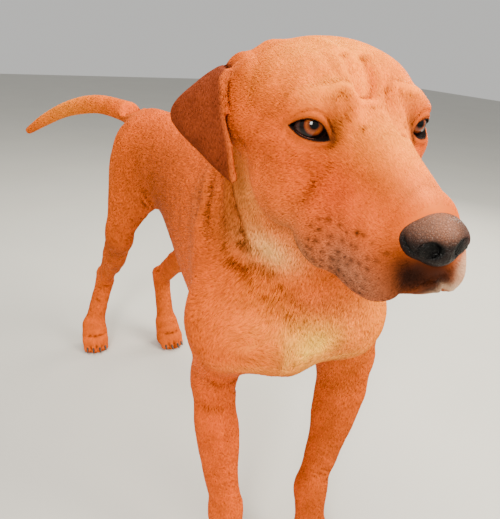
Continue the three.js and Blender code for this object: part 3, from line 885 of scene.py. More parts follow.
# ---- mesh help
def set_points(mesh: bpy.types.Mesh, points: Array) -> None:
    """Move a mesh's vertices to points in millimetres."""
    mesh.vertices.foreach_set("co", (points * MM).astype(np.float32).ravel())
    mesh.update()


def read(source: Sequence, name: str, width: int, kind: type = np.float32) -> Array:
    """Read one value of every member of a mesh's list.

    Args:
        source: the list, such as the vertices.
        name: the value's name.
        width: how many numbers each value has.
        kind: the kind of number.

    Returns:
        One row for each member, or a plain row of numbers where the width is 1.
    """
    found = np.empty(len(source) * width, kind)
    source.foreach_get(name, found)
    return found if width == 1 else found.reshape(-1, width)


def points_of(mesh: bpy.types.Mesh) -> Array:
    """Return a mesh's vertices in millimetres."""
    return read(mesh.vertices, "co", 3).astype(float) / MM


def normals_of(mesh: bpy.types.Mesh) -> Array:
    """Return a mesh's vertex normals."""
    return read(mesh.vertex_normals, "vector", 3).astype(float)


def links_of(mesh: bpy.types.Mesh) -> Array:
    """Return the two vertices of every edge."""
    return read(mesh.edges, "vertices", 2, np.int32)


def eased(values: Array, links: Array, amount: Array | float) -> Array:
    """Move the vertices' values towards the mean of their neighbours'.

    Args:
        values: a number or a row of numbers for each vertex.
        links: the two vertices of every edge.
        amount: how far to move, for all vertices or for each.

    Returns:
        The values, moved.
    """
    count = np.bincount(links.ravel(), minlength=len(values)).astype(float)
    rows = values.reshape(len(values), -1)
    total = np.empty_like(rows)
    for axis, column in enumerate(rows.T):
        total[:, axis] = np.bincount(links[:, 0], column[links[:, 1]], len(rows))
        total[:, axis] += np.bincount(links[:, 1], column[links[:, 0]], len(rows))
    mean = (total / np.maximum(count, 1)[:, None]).reshape(values.shape)
    return values + (mean - values) * (amount[:, None] if isinstance(amount, np.ndarray) else amount)


def choose(*pieces: Piece) -> None:
    """Select these pieces and nothing else, the first one active."""
    bpy.ops.object.select_all(action="DESELECT")
    for piece in pieces:
        piece.select_set(True)
    bpy.context.view_layer.objects.active = pieces[0]


def apply_all(piece: Piece) -> None:
    """Apply every modifier of a piece in order."""
    choose(piece)
    for modifier in list(piece.modifiers):
        bpy.ops.object.modifier_apply(modifier=modifier.name)


def edit_all(piece: Piece, *actions: Callable[[], object]) -> None:
    """Run edit-mode operators in turn on the whole of a piece.

    Args:
        piece: the piece to edit.
        actions: the operators' calls.
    """
    choose(piece)
    bpy.ops.object.mode_set(mode="EDIT")
    bpy.ops.mesh.select_all(action="SELECT")
    for action in actions:
        action()
    bpy.ops.object.mode_set(mode="OBJECT")


def outward(piece: Piece) -> None:
    """Turn a closed piece's faces outwards."""
    edit_all(piece, lambda: bpy.ops.mesh.normals_make_consistent(inside=False))


def merged_copy(node: str) -> Piece:
    """Copy a node's solid.

    Args:
        node: the solid's name.

    Returns:
        Its copy, with the shared vertices merged.
    """
    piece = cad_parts[node].copy()
    piece.data = piece.data.copy()
    piece.name = f"{node}_copy"
    piece.parent = None
    for key in list(piece.keys()):
        del piece[key]
    bpy.context.scene.collection.objects.link(piece)
    piece.hide_render = False
    edit_all(piece, lambda: bpy.ops.mesh.remove_doubles(threshold=0.01 * MM))
    return piece


def joined(pieces: Sequence[Piece], name: str) -> Piece:
    """Join several pieces.

    Args:
        pieces: the pieces.
        name: the name of the joined one.

    Returns:
        The one piece that they make.
    """
    choose(*pieces)
    bpy.ops.object.join()
    piece = bpy.context.object
    piece.name = name
    piece.data.name = name
    return piece


def remesh(piece: Piece, cell: float) -> None:
    """Give a piece an even surface of cells of this size, in millimetres.

    Args:
        piece: the piece.
        cell: the cells' size, in millimetres.
    """
    modifier = piece.modifiers.new("even", "REMESH")
    modifier.mode = "VOXEL"
    modifier.voxel_size = cell * MM
    apply_all(piece)


def edit_where(piece: Piece, chosen: Array, action: Callable[[], object]) -> None:
    """Run an edit-mode operator on the faces whose vertices are all chosen.

    Args:
        piece: the piece to edit.
        chosen: one truth value for each vertex.
        action: the operator's call.
    """
    choose(piece)
    mesh = piece.data
    for members in (mesh.vertices, mesh.edges, mesh.polygons):
        members.foreach_set("select", np.zeros(len(members), bool))
    sizes = read(mesh.polygons, "loop_total", 1, np.int32)
    corners = read(mesh.loops, "vertex_index", 1, np.int32)
    starts = np.concatenate(([0], np.cumsum(sizes)[:-1]))
    whole = np.minimum.reduceat(chosen[corners].astype(np.int8), starts).astype(bool)
    mesh.polygons.foreach_set("select", whole)
    bpy.ops.object.mode_set(mode="EDIT")
    bpy.ops.mesh.select_mode(type="FACE")
    action()
    bpy.ops.object.mode_set(mode="OBJECT")


def claw_nodes() -> dict[str, list[str]]:
    """Return the nodes of each paw's claws, by the paw's node."""
    paws = [f"{kind}_{side}" for kind in ("forepaw", "hindpaw") for side in SIDES]
    return {paw: [f"{paw}_claw_{index}" for index in range(1, 5)] for paw in paws}


# ---- skin
@dataclass
class Skin:
    """The one skin of the dog, from its solids, drawn onto its form and sculpted."""

    body: Body
    shift: Array  # from the dog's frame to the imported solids', in millimetres
    cell: float = 2.2
    coarse: float = 0.12  # the share of its faces that the trunk keeps
    limb: float = 0.24  # that the legs keep
    paw: float = 0.66  # that the paws and the tail keep
    sole: float = 0.4  # the skin's lowest place, in millimetres
    bead: float = 6.0
    bead_behind: float = 3.4
    drawing: Drawing = Drawing(rounds=5, reach=5.0, probe=0.5, gentle=0.15)
    flesh: tuple[str, ...] = ("head", "neck", "chest", "loin", "tail")

    def nodes(self) -> list[str]:
        """Return the nodes of flesh that the skin replaces."""
        limbs = ("shoulder", "forearm", "forepaw", "thigh", "shank", "hindpaw", "ear")
        return list(self.flesh) + [f"{limb}_{side}" for limb in limbs for side in SIDES]

    def build(self) -> Piece:
        """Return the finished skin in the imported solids' frame."""
        piece = self.blank()
        self.thin_out(piece)
        self.refine(piece)
        self.draw_onto_form(piece)
        self.even_out(piece)
        self.sculpt(piece)
        self.open_eyes(piece)
        set_points(piece.data, points_of(piece.data) + self.shift)
        unwrap = lambda: bpy.ops.uv.smart_project(angle_limit=math.radians(75), island_margin=0.001)
        edit_all(piece, bpy.ops.mesh.quads_convert_to_tris, unwrap)
        piece.data.uv_layers[0].name = "OFBake"
        bpy.ops.object.shade_smooth()
        piece.data.materials.clear()
        return piece

    def blank(self) -> Piece:
        """Return the solids of flesh joined and remeshed into one closed surface, in the dog's own frame."""
        parts = [merged_copy(node) for node in self.nodes() if not node.startswith("ear")]
        parts += [merged_copy(node) for node in ("eye_right", "eye_left", "nose")]
        for part in parts:
            # The cuts between the solids close.
            edit_all(part, lambda: bpy.ops.transform.shrink_fatten(value=0.5 * MM))
        for claws in claw_nodes().values():
            for claw in claws:
                # A bead behind each claw fills the hole that it leaves in its toe.
                low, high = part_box(claw)
                centre = (low + high) / 2
                centre.y += self.bead_behind * MM
                bpy.ops.mesh.primitive_ico_sphere_add(subdivisions=2, radius=self.bead * MM, location=centre)
                bpy.ops.object.transform_apply(location=True, rotation=False, scale=False)
                parts.append(bpy.context.object)
        piece = joined(parts, "skin")
        set_points(piece.data, points_of(piece.data) - self.shift)
        piece = joined([piece] + [ear.build(self.body) for ear in self.ears()], "skin")
        remesh(piece, self.cell)
        return piece

    def thin_out(self, piece: Piece) -> None:
        """Leave fine cells on the head and ears, fewer on paws and tail, and fewest on the trunk.

        Args:
            piece: the skin, in the dog's own frame.
        """
        for chosen, share in enumerate((self.coarse, self.limb, self.paw)):
            points = points_of(piece.data)
            local = self.body.head_frame(points)
            head = (local[:, 1] < 150) & (points[:, 2] > 500) & (points[:, 1] < 60)
            paw_or_tail = (points[:, 2] < 62) | (points[:, 1] > 560) & (points[:, 2] > 400)
            legs = (points[:, 2] < 330) | (np.abs(points[:, 0]) > 84) & (points[:, 2] < 420)
            region = np.where(paw_or_tail, 2, np.where(legs, 1, 0))
            edit_where(piece, (region == chosen) & ~head, lambda: bpy.ops.mesh.decimate(ratio=share))

    def refine(self, piece: Piece) -> None:
        """Divide the faces around the eyes again, for the lids.

        Args:
            piece: the skin, in the dog's own frame.
        """
        for radius in (24.0, 19.0):
            points = points_of(piece.data)
            near = np.zeros(len(points), bool)
            for side in SIDES.values():
                centre = np.array(self.body.in_head(side * self.body.eye_spread, self.body.eye_depth, 0))
                near |= np.linalg.norm(points - centre, axis=1) < radius
            edit_where(piece, near, lambda: bpy.ops.mesh.subdivide(number_cuts=1))

    def draw_onto_form(self, piece: Piece) -> None:
        """Draw the skin's vertices onto the dog's form, except those of the ears' flaps.

        Args:
            piece: the skin, in the dog's own frame.
        """
        form = self.body.whole()
        points = points_of(piece.data)
        local = self.body.head_frame(points)
        at_ear = (np.abs(local[:, 0]) > 52) & (local[:, 1] > 55) & (local[:, 1] < 175) & (points[:, 2] > 520)
        start = np.abs(form.distance(points))
        pull = np.where(at_ear, smoothstep(start, 3.6, 1.8), smoothstep(start, 16, 12))
        points = self.drawing.onto(form, points, links_of(piece.data), pull, 0.7 * pull * (1 - at_ear))
        points[:, 2] = np.maximum(points[:, 2], self.sole)
        set_points(piece.data, points)

    def even_out(self, piece: Piece) -> None:
        """Take the ripples of the thinned cells out of the skin behind the head, without shrinking it.

        Args:
            piece: the skin, in the dog's own frame.
        """
        points = points_of(piece.data)
        local = self.body.head_frame(points)
        from_face = np.linalg.norm(local - np.array((0, 20, -10)), axis=1)
        share = smoothstep(from_face, 135, 175) * smoothstep(points[:, 2], 60, 78)
        links = links_of(piece.data)
        shrink, swell, rounds = 0.6, -0.63, 26
        for amount in (shrink, swell) * rounds:
            points = eased(points, links, amount * share)
        set_points(piece.data, points)

    def ears(self) -> tuple[Ear, Ear]:
        """Return both ears: the right one hangs full, the left one lies closer."""
        return Ear(RIGHT), Ear(LEFT, flare=0.62, drop=7)

    def ear_share(self, points: Array, local: Array) -> Array:
        """Tell the ears' flaps from the head.

        Args:
            points: places in the dog's frame.
            local: the same places in the head's.

        Returns:
            How far each belongs to an ear's flap, from 0 to 1.
        """
        share = np.zeros(len(points))
        beside = (np.abs(local[:, 0]) > 46) & (local[:, 2] > -90)
        near = np.flatnonzero(beside & (local[:, 1] > 40) & (local[:, 1] < 185))
        at_once = 2000  # points compared with the sheet in one go
        for ear in self.ears():
            sheet = ear.sheet()[3:].reshape(-1, 3)
            own = near[local[near, 0] * ear.side > 0]
            for start in range(0, len(own), at_once):
                some = own[start:start + at_once]
                gap = np.linalg.norm(local[some][:, None] - sheet[None], axis=2).min(axis=1)
                share[some] = smoothstep(gap, 5.5, 3.4)
        return share

    def folds(self) -> tuple[Fold, ...]:
        """Return the folds and creases of the face and the neck."""
        brow = ((46, 19, 15), (33, 10, 21.5), (19, 8, 25), (15, 1, 20), (15, -7, 14), (17, -14, 8))
        return (
            Fold(mirrored(brow), 3.0, 4.2),
            Fold(brow, 2.7, 4.2),
            Fold(((-9, 34, 39), (-10, 11, 27), (-8, 1, 20)), -2.2, 3.0, rim=0.4),
            Fold(((6, 33, 39), (6, 20, 31), (4, 11, 25), (-2, 2, 19)), -2.4, 3.0, rim=0.4),
            Fold(((12, 5, 22), (8, -8, 15), (6, -20, 9), (8, -30, 4)), -1.5, 3.4, rim=0.3),
            Fold(((-14, 68, 47), (-9, 43, 43), (-6, 30, 38)), 1.9, 6.0),
            Fold(((-22, 40, 38), (-21, 24, 33), (-16, 12, 27)), -1.3, 3.0, rim=0.4),
            *fold_pair(((55, 20, -5), (61, 30, -8), (66, 42, -11)), -1.1, 2.6, rim=0.4),
            *fold_pair(((34, -14, -10), (42, -6, -16), (52, 8, -16)), -1.0, 3.2, rim=0.3),
            *self.lips(),
            *fold_pair(((62, 26, -20), (59, 17, -46), (50, 18, -72)), 0.9, 9.0),
            Fold(((-94, 20, 560), (-93, 10, 535), (-90, 0, 512), (-86, -4, 492)), -3.2, 7.0, False, 0.4),
            Fold(((-82, 92, 545), (-88, 76, 520), (-92, 56, 495), (-92, 40, 470)), -3.0, 9.0, False, 0.4),
            Fold(((-64, 140, 540), (-76, 112, 515), (-86, 90, 490)), -2.4, 9.0, False, 0.4),
            Fold(((70, 70, 560), (74, 50, 528), (76, 30, 500), (72, 6, 470)), -2.2, 7.0, False, 0.4),
            Fold(((-60, -66, 410), (-59, -66, 390), (-56, -64, 372)), 2.0, 6.0, False),
            *self.toe_gaps(),
        )

    def lips(self) -> tuple[Fold, Fold]:
        """Return the line of the mouth on both sides."""
        line = ((3, -99, -64), (12, -95, -72), (20, -84, -82), (26, -62, -89), (30, -38, -90), (35, -16, -88),
                (43, 2, -80))
        return fold_pair(line, -3.4, 2.1, rim=0.25)

    def toe_gaps(self) -> tuple[Fold, ...]:
        """Return the grooves between the toes."""
        grooves = []
        for leg in (*self.body.forelegs.values(), *self.body.hindlegs.values()):
            toes = self.body.toes(leg)
            for near, far in zip(toes, toes[1:]):
                root, arch, tip, ahead = (
                    between(getattr(near, key), getattr(far, key), 0.5)
                    for key in ("root", "arch", "tip", "forward")
                )
                front = (tip[0] + ahead[0] * 8, tip[1] + ahead[1] * 8, 12.0)
                line = (shifted(root, 0, 0, 18), shifted(arch, 0, 0, 15.5), shifted(tip, 0, 0, 10.5), front,
                        shifted(front, 0, 0, -10))
                grooves.append(Fold(line, -1.8, 3.4, on_head=False))
                grooves.append(Fold(line[1:], -3.4, 2.3, on_head=False))
        return tuple(grooves)

    def sculpt(self, piece: Piece) -> None:
        """Raise and sink the skin along its folds, and fill out the upper lips.

        Args:
            piece: the skin, in the dog's own frame.
        """
        points = points_of(piece.data)
        outward_way = normals_of(piece.data)
        local = self.body.head_frame(points)
        lift = np.zeros(len(points))
        for fold in self.folds():
            lift += fold.lift(local if fold.on_head else points)
        # The upper lip hangs full over the line of the mouth.
        for side in SIDES.values():
            flew = ((side * 20, -84, -68), (side * 29, -62, -76), (side * 34, -38, -80))
            lift += 2.2 * bell(line_distance(local, flew), 11)
        points += outward_way * lift[:, None]
        set_points(piece.data, points)

    def open_eyes(self, piece: Piece) -> None:
        """Drape the lids over both eyes and sink the skin inside each opening behind the eye.

        Args:
            piece: the skin, in the dog's own frame.
        """
        points = points_of(piece.data)
        for eye in eye_frames(self.body):
            local = carry(points, eye.place.inverted())
            x, y, z = local.T
            near = (np.hypot(x, z) < 30) & (y > -14)
            outside = eye.opening.outside(x, z)
            # Vertices beside the opening's edge are drawn onto it, so that the rim is clean.
            # x and z are views of local, so the vertices themselves move.
            edge = eye.opening.edge(360)
            close = near & (np.abs(outside) < 0.45)
            gap = np.linalg.norm(np.stack([x[close], z[close]], axis=1)[:, None] - edge[None], axis=2)
            nearest = edge[gap.argmin(axis=1)]
            x[close], z[close] = nearest.T
            outside = eye.opening.outside(x, z)
            ball = self.body.eye_radius
            dome = eye.dome(x, z, ball + eye.lid)
            weight = smoothstep(np.hypot(x, z), 19, 12) * near
            over = np.maximum(y, dome)
            lidded = y + (over - y) * weight
            # A soft fold runs round above the upper lid, and a fainter one under the lower.
            above = smoothstep(z, -2, 3)
            lidded -= 1.1 * bell(outside - 5.4, 1.5) * weight * (0.35 + 0.65 * above)
            lidded += 0.7 * bell(outside - 2.2, 1.5) * weight
            lined = np.minimum(lidded, eye.dome(x, z, ball) - 2.2)
            inner = smoothstep(outside, -0.15, -0.75)
            local[:, 1] = np.where(near, lidded + (lined - lidded) * inner * near, y)
            points = carry(local, eye.place)
        set_points(piece.data, points)


# ---- the coat's colours, with painted shade and highlight
def tone(red: float, green: float, blue: float) -> Colour:
    """Return a colour given in display values from 0 to 1 as the light that it reflects."""
    shown = (red, green, blue)
    return tuple(((v + 0.055) / 1.055) ** 2.4 if v > 0.04 else v / 12.92 for v in shown)


class Where(Enum):
    """The frame that a marking's place is given in."""

    HEAD = "head"
    DOG = "dog"


@dataclass(frozen=True)
class Mark:
    """A soft patch of colour on the coat."""

    where: Where
    centre: Point
    radii: Point
    colour: Colour
    strength: float = 1.0
    edge: float = 2.0  # higher is sharper

    def share(self, points: Array) -> Array:
        """Return how strongly the patch covers points of its own frame."""
        reach = (((points - np.array(self.centre)) / np.array(self.radii)) ** 2).sum(axis=1)
        return self.strength * np.exp(-(reach ** (self.edge / 2)))


def mark_pair(centre: Point, *rest: Point | Colour | float) -> tuple[Mark, Mark]:
    """Return a patch of the head and its mirror image, from the left one's centre."""
    return Mark(Where.HEAD, (-centre[0], *centre[1:]), *rest), Mark(Where.HEAD, centre, *rest)


def mixed(colour: Array, other: Colour | Array, share: Array) -> Array:
    """Return colours with another mixed into each by its share."""
    return colour + (np.array(other) - colour) * share[:, None]


@dataclass(frozen=True)
class MarkingsAndPaintedLight:
    """The dog's colours: one fox-red coat with golden, brown, grey and buff places, and painted shade and
    highlight.
    """

    body: Body
    creases: tuple[Fold, ...]
    base: Colour = tone(0.85, 0.36, 0.03)
    ear: Colour = tone(0.41, 0.17, 0.10)
    ear_rim: Colour = tone(0.80, 0.37, 0.12)
    ear_edge: Colour = tone(0.35, 0.13, 0.075)
    black: Colour = tone(0.085, 0.05, 0.04)
    # crease: painted shade, laid along the creases of the skin
    crease: Colour = tone(0.66, 0.29, 0.05)
    whisker_seed: int = 5

    def marks(self) -> tuple[Mark, ...]:
        """Return the patches in the order in which they are laid."""
        head = Where.HEAD
        # golden: the coat's paler tone, laid where the light falls brightest, so partly painted highlight
        golden = tone(1.0, 0.58, 0.09)
        red = tone(0.82, 0.31, 0.03)
        grey = tone(0.50, 0.385, 0.31)
        buff = tone(0.86, 0.60, 0.34)
        pale = tone(0.86, 0.76, 0.64)
        dark = tone(0.07, 0.035, 0.025)
        on_dog = (
            ((0, 150, 575), (80, 520, 60), tone(0.84, 0.35, 0.04), 0.6),
            # Painted shade over the waist and the flanks behind the ribs, deeper on the right.
            ((-62, 310, 420), (60, 120, 110), tone(0.50, 0.23, 0.10), 0.66),
            ((62, 310, 420), (60, 120, 110), tone(0.50, 0.23, 0.10), 0.5),
            ((0, -70, 400), (70, 40, 60), buff, 0.35),
            # The lit left side of the chest is golden: partly the coat's tone, partly painted highlight.
            ((60, -50, 420), (70, 60, 90), golden, 0.55),
            ((-60, -60, 335), (110, 60, 40), red, 0.4),
            ((-90, 40, 250), (50, 90, 110), red, 0.45),
            # Painted shade down the left foreleg.
            ((66, 0, 170), (56, 80, 190), tone(0.62, 0.27, 0.06), 0.6),
            ((-75, 20, 40), (60, 80, 45), tone(0.84, 0.40, 0.12), 0.2),
            ((45, -10, 40), (60, 80, 45), tone(0.84, 0.40, 0.12), 0.2),
            ((0, 440, 120), (200, 170, 150), tone(0.58, 0.33, 0.12), 0.6),
            ((-106, 440, 260), (50, 70, 80), tone(0.56, 0.24, 0.07), 0.8),
            ((100, 390, 220), (50, 80, 110), tone(0.58, 0.29, 0.09), 0.7),
            # The tail is golden: partly its own tone, partly painted highlight.
            ((-108, 730, 505), (110, 120, 90), tone(1.0, 0.55, 0.09), 0.9),
            # The right side of the chest is a little golden: partly the coat's tone, partly painted
            # highlight.
            ((-80, -55, 425), (44, 50, 50), golden, 0.35),
            ((0, 200, 300), (60, 160, 40), buff, 0.35),
            ((0, 540, 420), (60, 50, 80), tone(0.90, 0.62, 0.36), 0.4),
            # Painted shade on the neck behind each ear.
            ((-92, 10, 530), (20, 32, 54), tone(0.50, 0.26, 0.10), 0.75),
            ((92, 10, 530), (20, 32, 54), tone(0.50, 0.26, 0.10), 0.75),
            # Painted shade over the loose folds of the neck.
            ((-80, 95, 500), (30, 50, 50), tone(0.64, 0.32, 0.13), 0.45),
            ((84, 95, 500), (30, 50, 50), tone(0.64, 0.32, 0.13), 0.45),
            ((-80, -42, 502), (24, 34, 18), tone(1.0, 0.72, 0.40), 0.9),
            ((-45, -72, 455), (40, 24, 22), tone(0.80, 0.36, 0.13), 0.6),
            # The front of the chest on the left is bright orange: partly the coat's tone, partly painted
            # highlight.
            ((34, -80, 415), (54, 40, 44), tone(1.0, 0.51, 0.06), 0.75),
            ((-38, -72, 408), (26, 30, 24), tone(1.0, 0.76, 0.24), 0.85),
            ((-62, -66, 390), (5, 22, 28), tone(1.0, 0.70, 0.28), 0.5),
            ((-88, -30, 374), (26, 40, 8), tone(1.0, 0.70, 0.28), 0.3),
            ((-10, -62, 376), (46, 30, 9), tone(1.0, 0.74, 0.30), 0.35),
        )
        on_head = (
            # The crown, the brows and the bridge of the muzzle are golden: partly the coat's tone, partly
            # painted highlight where the light falls.
            Mark(head, (-10, 52, 40), (58, 52, 30), golden, 0.82),
            Mark(head, (-18, 9, 25), (13, 10, 7), golden, 0.6),
            Mark(head, (0, -36, 2), (24, 50, 22), tone(1.0, 0.58, 0.12), 0.75),
            *mark_pair((36, 8, 22), (16, 12, 8), golden, 0.5),
            *mark_pair((70, 92, 22), (13, 20, 20), tone(0.66, 0.26, 0.06), 0.75),
            *mark_pair((52, 92, -74), (16, 30, 36), tone(0.86, 0.56, 0.26), 0.6),
            *mark_pair((54, 40, -20), (24, 44, 34), red, 0.4),
            *mark_pair((50, 18, -96), (34, 44, 30), buff, 0.5),
            *mark_pair((58, 60, -50), (18, 44, 34), tone(1.0, 0.48, 0.12), 0.5),
            *mark_pair((34, -26, -34), (16, 24, 20), tone(0.82, 0.29, 0.03), 0.6),
            *mark_pair((27, -56, -74), (18, 44, 20), grey, 0.9),
            *mark_pair((40, -6, -84), (16, 26, 12), grey, 0.5),
            Mark(head, (-14, -92, -59), (17, 16, 20), dark, 0.98, 3),
            Mark(head, (3, -97, -62), (17, 12, 18), dark, 0.96, 3),
            Mark(head, (16, -90, -75), (16, 13, 8), pale, 0.7, 3),
            Mark(head, (22, -88, -60), (8, 12, 11), pale, 0.6, 3),
            Mark(head, (0, -78, -14), (18, 14, 10), tone(0.92, 0.50, 0.22), 0.5),
            # Painted shade in the inner corner of each eye and under the brow.
            *mark_pair((28, -7, 3), (7, 9, 9), dark, 0.62),
            *mark_pair((31, -1, 14), (10, 8, 5), dark, 0.34),
        )
        return *(Mark(Where.DOG, *row) for row in on_dog), *on_head

    def paint(self, points: Array, ear: Array) -> Array:
        """Return the colour of the coat at points, with its painted shade and highlight.

        Args:
            points: places in the dog's frame, in millimetres.
            ear: how far each belongs to an ear, from 0 to 1.

        Returns:
            One colour for each point.
        """
        local = self.body.head_frame(points)
        colour = np.tile(np.array(self.base), (len(points), 1))
        for mark in self.marks():
            colour = mixed(colour, mark.colour, mark.share(local if mark.where is Where.HEAD else points))
        # Every crease, the line of the mouth and the grooves between the toes are darkened along their lines:
        # painted shade.
        for crease in self.creases:
            away = line_distance(local if crease.on_head else points, crease.line)
            depth = min(0.6, (0.1 if crease.on_head else 0.13) * abs(crease.height))
            colour = mixed(colour, self.crease, depth * bell(away, crease.width * 0.85))
        colour = mixed(colour, self.black, self.whisker_beds(local))
        low = smoothstep(local[:, 2], -18, -56)[:, None]
        flap = np.array(self.ear) * (1 - low) + np.array(self.ear_edge) * low
        front = np.array(Ear.front) * (1.04, 1, 1)
        away = line_distance(np.stack([np.abs(local[:, 0]), local[:, 1], local[:, 2]], axis=1), front)
        flap = mixed(flap, self.ear_rim, smoothstep(away, 9.0, 4.5))
        colour = mixed(colour, flap, ear * 0.88)
        for eye in eye_frames(self.body):
            seen, near, outside = eye.seen(points)
            # The lids' rims are their dark skin; the same black covers the skin sunk inside the opening as
            # painted shade, a softer painted shade spreads round the lids, and the hollow of the inner corner
            # is painted darker still.
            rim = smoothstep(outside, 1.3, 0.5)
            socket_shade = 0.42 * smoothstep(outside, 6.5, 0.8)
            inner = 0.8 * bell(seen[:, 0] + 15, 5.5) * bell(seen[:, 2] + 5, 6)
            colour = mixed(colour, self.black, np.maximum.reduce([rim, socket_shade, inner]) * near)
        return np.clip(colour, 0, 1)

    def whisker_beds(self, local: Array) -> Array:
        """Darken the lips where the whiskers' roots are.

        Args:
            local: places in the head's frame.

        Returns:
            How dark each is, from 0 to 1.
        """
        rng = np.random.default_rng(self.whisker_seed)
        rows, places = 6, 8
        share = np.zeros(len(local))
        near = np.flatnonzero((local[:, 1] < -14) & (local[:, 2] < -38) & (local[:, 2] > -96))
        some = local[near]
        for side in SIDES.values():
            for row in range(rows):
                for place in range(places):
                    forward = -84 + 8.4 * place + 2.2 * row + rng.normal(0, 1.4)
                    height = -47 - 7.4 * row - 0.7 * place + rng.normal(0, 1.2)
                    away = np.hypot((some[:, 1] - forward) * 0.72, some[:, 2] - height)
                    spot = rng.uniform(0.55, 0.95) * bell(away, rng.uniform(1.1, 1.9))
                    share[near] = np.maximum(share[near], spot * (some[:, 0] * side > 9))
        return share


# ---- coat
@dataclass(frozen=True)
class Pelt:
    """The coat's tufts in one place, in millimetres: length, half width, lift, and the ground each covers."""

    length: float
    width: float
    lift: float
    ground: float

    @property
    def row(self) -> Array:
        """The tufts' sizes, and how many stand on a square millimetre."""
        return np.array((self.length, self.width, self.lift, 1 / self.ground))


@dataclass
class Coat:
    """The short coat: thin overlapping tufts that lie along the body."""

    body: Body
    shift: Array
    most: int = 372000
    seed: int = 11
    piece_tufts: int = 49000  # the most in one piece: each has four triangles
    swing: float = 0.42  # how far a tuft turns aside, as a slope
    ridge: float = 0.38  # where it stands highest, as a share of its length
    sunk: float = 0.35  # how deep its root lies, as a share of its lift
    sharpest: float = 0.08  # the sharpest bend that it follows, to a millimetre
    meeting: float = 9.0  # how far the coats of two regions blend
    root_shade: Colour = (0.82, 0.73, 0.66)
    tip_shade: Colour = (1.12, 1.16, 1.16)

    def pelts(self) -> dict[str, Pelt]:
        """Return the tufts of each region."""
        return {
            "trunk": Pelt(13, 0.8, 0.6, 3.8), "neck": Pelt(12, 0.7, 0.6, 2.4),
            "head": Pelt(6.0, 0.38, 0.34, 0.85), "tail": Pelt(12, 0.75, 0.7, 2.4),
            "foreleg": Pelt(8, 0.55, 0.42, 1.9), "hindleg": Pelt(9.5, 0.7, 0.55, 3.0),
            "paw": Pelt(4.4, 0.4, 0.3, 1.2), "ear": Pelt(5.0, 0.4, 0.3, 1.15),
        }

    def flows(self, points: Array, normals: Array, local: Array) -> dict[str, Array]:
        """Give the way that the coat lies in each region.

        Args:
            points: places on the skin, in the dog's frame.
            normals: the skin's normals there.
            local: the same places in the head's frame.

        Returns:
            Each region's way, for every place.
        """
        count = len(points)
        turned = self.body.head_place
        away = unit(local - np.array(self.body.nose)) + np.array((0, 0.7, 0))
        away[:, 2] -= 0.55 * smoothstep(np.abs(local[:, 0]), 20, 50)
        up = smoothstep(normals[:, 2], -0.1, 0.8)
        front = smoothstep(points[:, 1], 40, -20)
        level = np.zeros(count)
        trunk = np.stack([level, 0.9 + 0.1 * up - 0.9 * front, -0.62 + 0.55 * up - 0.6 * front], axis=1)
        for centre, spin in (((-101, -41, 397), 1.0), ((-16, -72, 394), -1.0)):
            offset = points - np.array(centre)
            reach = np.linalg.norm(offset, axis=1)
            swirl = np.cross(normals, unit(offset)) * spin + 0.5 * unit(offset)
            trunk += swirl * (1.9 * bell(reach, 34))[:, None]
        neck = np.stack([level, 0.2 + 0.75 * up, -1 + 0.55 * up], axis=1)
        down, thigh, forward, ear = (
            np.tile(np.array(way), (count, 1))
            for way in ((0.0, 0.12, -1.0), (0.0, 0.4, -1.0), (0.0, -1.0, -0.35), (0.1, -0.35, -1.0))
        )
        line = np.array([point for point, _ in self.body.tail_line], float)
        runs = unit(np.diff(line, axis=0))
        middles = (line[1:] + line[:-1]) / 2
        gap = np.linalg.norm(points[:, None] - middles[None], axis=2)
        nearness = np.exp(-((gap - gap.min(axis=1, keepdims=True)) / 14))
        return {"trunk": trunk, "neck": neck, "head": turn(away, turned), "tail": nearness @ runs,
                "foreleg": down, "hindleg": thigh, "paw": forward, "ear": turn(ear, turned)}

    def lie(self, skin: Skin, piece: Piece) -> dict[str, Array]:
        """Return the coat's fields at every vertex of the skin.

        Args:
            skin: the skin's maker.
            piece: the finished skin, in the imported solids' frame.

        Returns:
            The fields by name: points, normals, way, sizes, ear, bare and bend.
        """
        points = points_of(piece.data) - self.shift
        normals = normals_of(piece.data)
        local = self.body.head_frame(points)
        ear = skin.ear_share(points, local)
        way, sizes, furred = self.blended(points, normals, local, ear)
        way = self.combed(piece, way, normals)
        # The coat is finer at the front of the chest than over the back.
        breast = (smoothstep(points[:, 1], 130, 20) * smoothstep(local[:, 2], -90, -130) * (1 - ear))[:, None]
        sizes *= 1 + (np.array((0.92, 0.72, 0.9, 1.7)) - 1) * breast
        # The face's coat is shortest on the muzzle and round the eyes.
        nose = np.linalg.norm(local - np.array(self.body.nose), axis=1)
        short = 0.55 + 0.45 * smoothstep(nose, 25, 100)
        bare = smoothstep(nose, 21, 17)
        for eye in eye_frames(self.body):
            _, near, outside = eye.seen(points)
            outside = np.where(near, outside, FAR)
            bare = np.maximum(bare, smoothstep(outside, 1.6, 0.8))
            short = np.minimum(short, 0.35 + 0.65 * smoothstep(outside, 1, 12))
        lips = np.minimum.reduce([line_distance(local, lip.line) for lip in skin.lips()])
        soles = smoothstep(points[:, 2], 3, 1.5)
        bare = np.maximum.reduce([bare, smoothstep(lips, 2.0, 1.0), soles])
        sizes[:, :3] *= np.where(furred, short, 1.0)[:, None]
        sizes[:, 3] /= np.clip(short, 0.4, 1) ** 1.2
        way = unit(way)
        bend = self.bends(piece, points, normals, way)
        # Where the skin bends sharply the tufts are shorter.
        cut = np.clip(0.55 / np.maximum(np.abs(bend) * sizes[:, 0], 1e-6), 0.35, 1)
        sizes[:, 0] *= cut
        sizes[:, 3] /= cut ** 0.6
        return {"points": points, "normals": normals, "way": way, "sizes": sizes, "ear": ear, "bare": bare,
                "bend": bend}

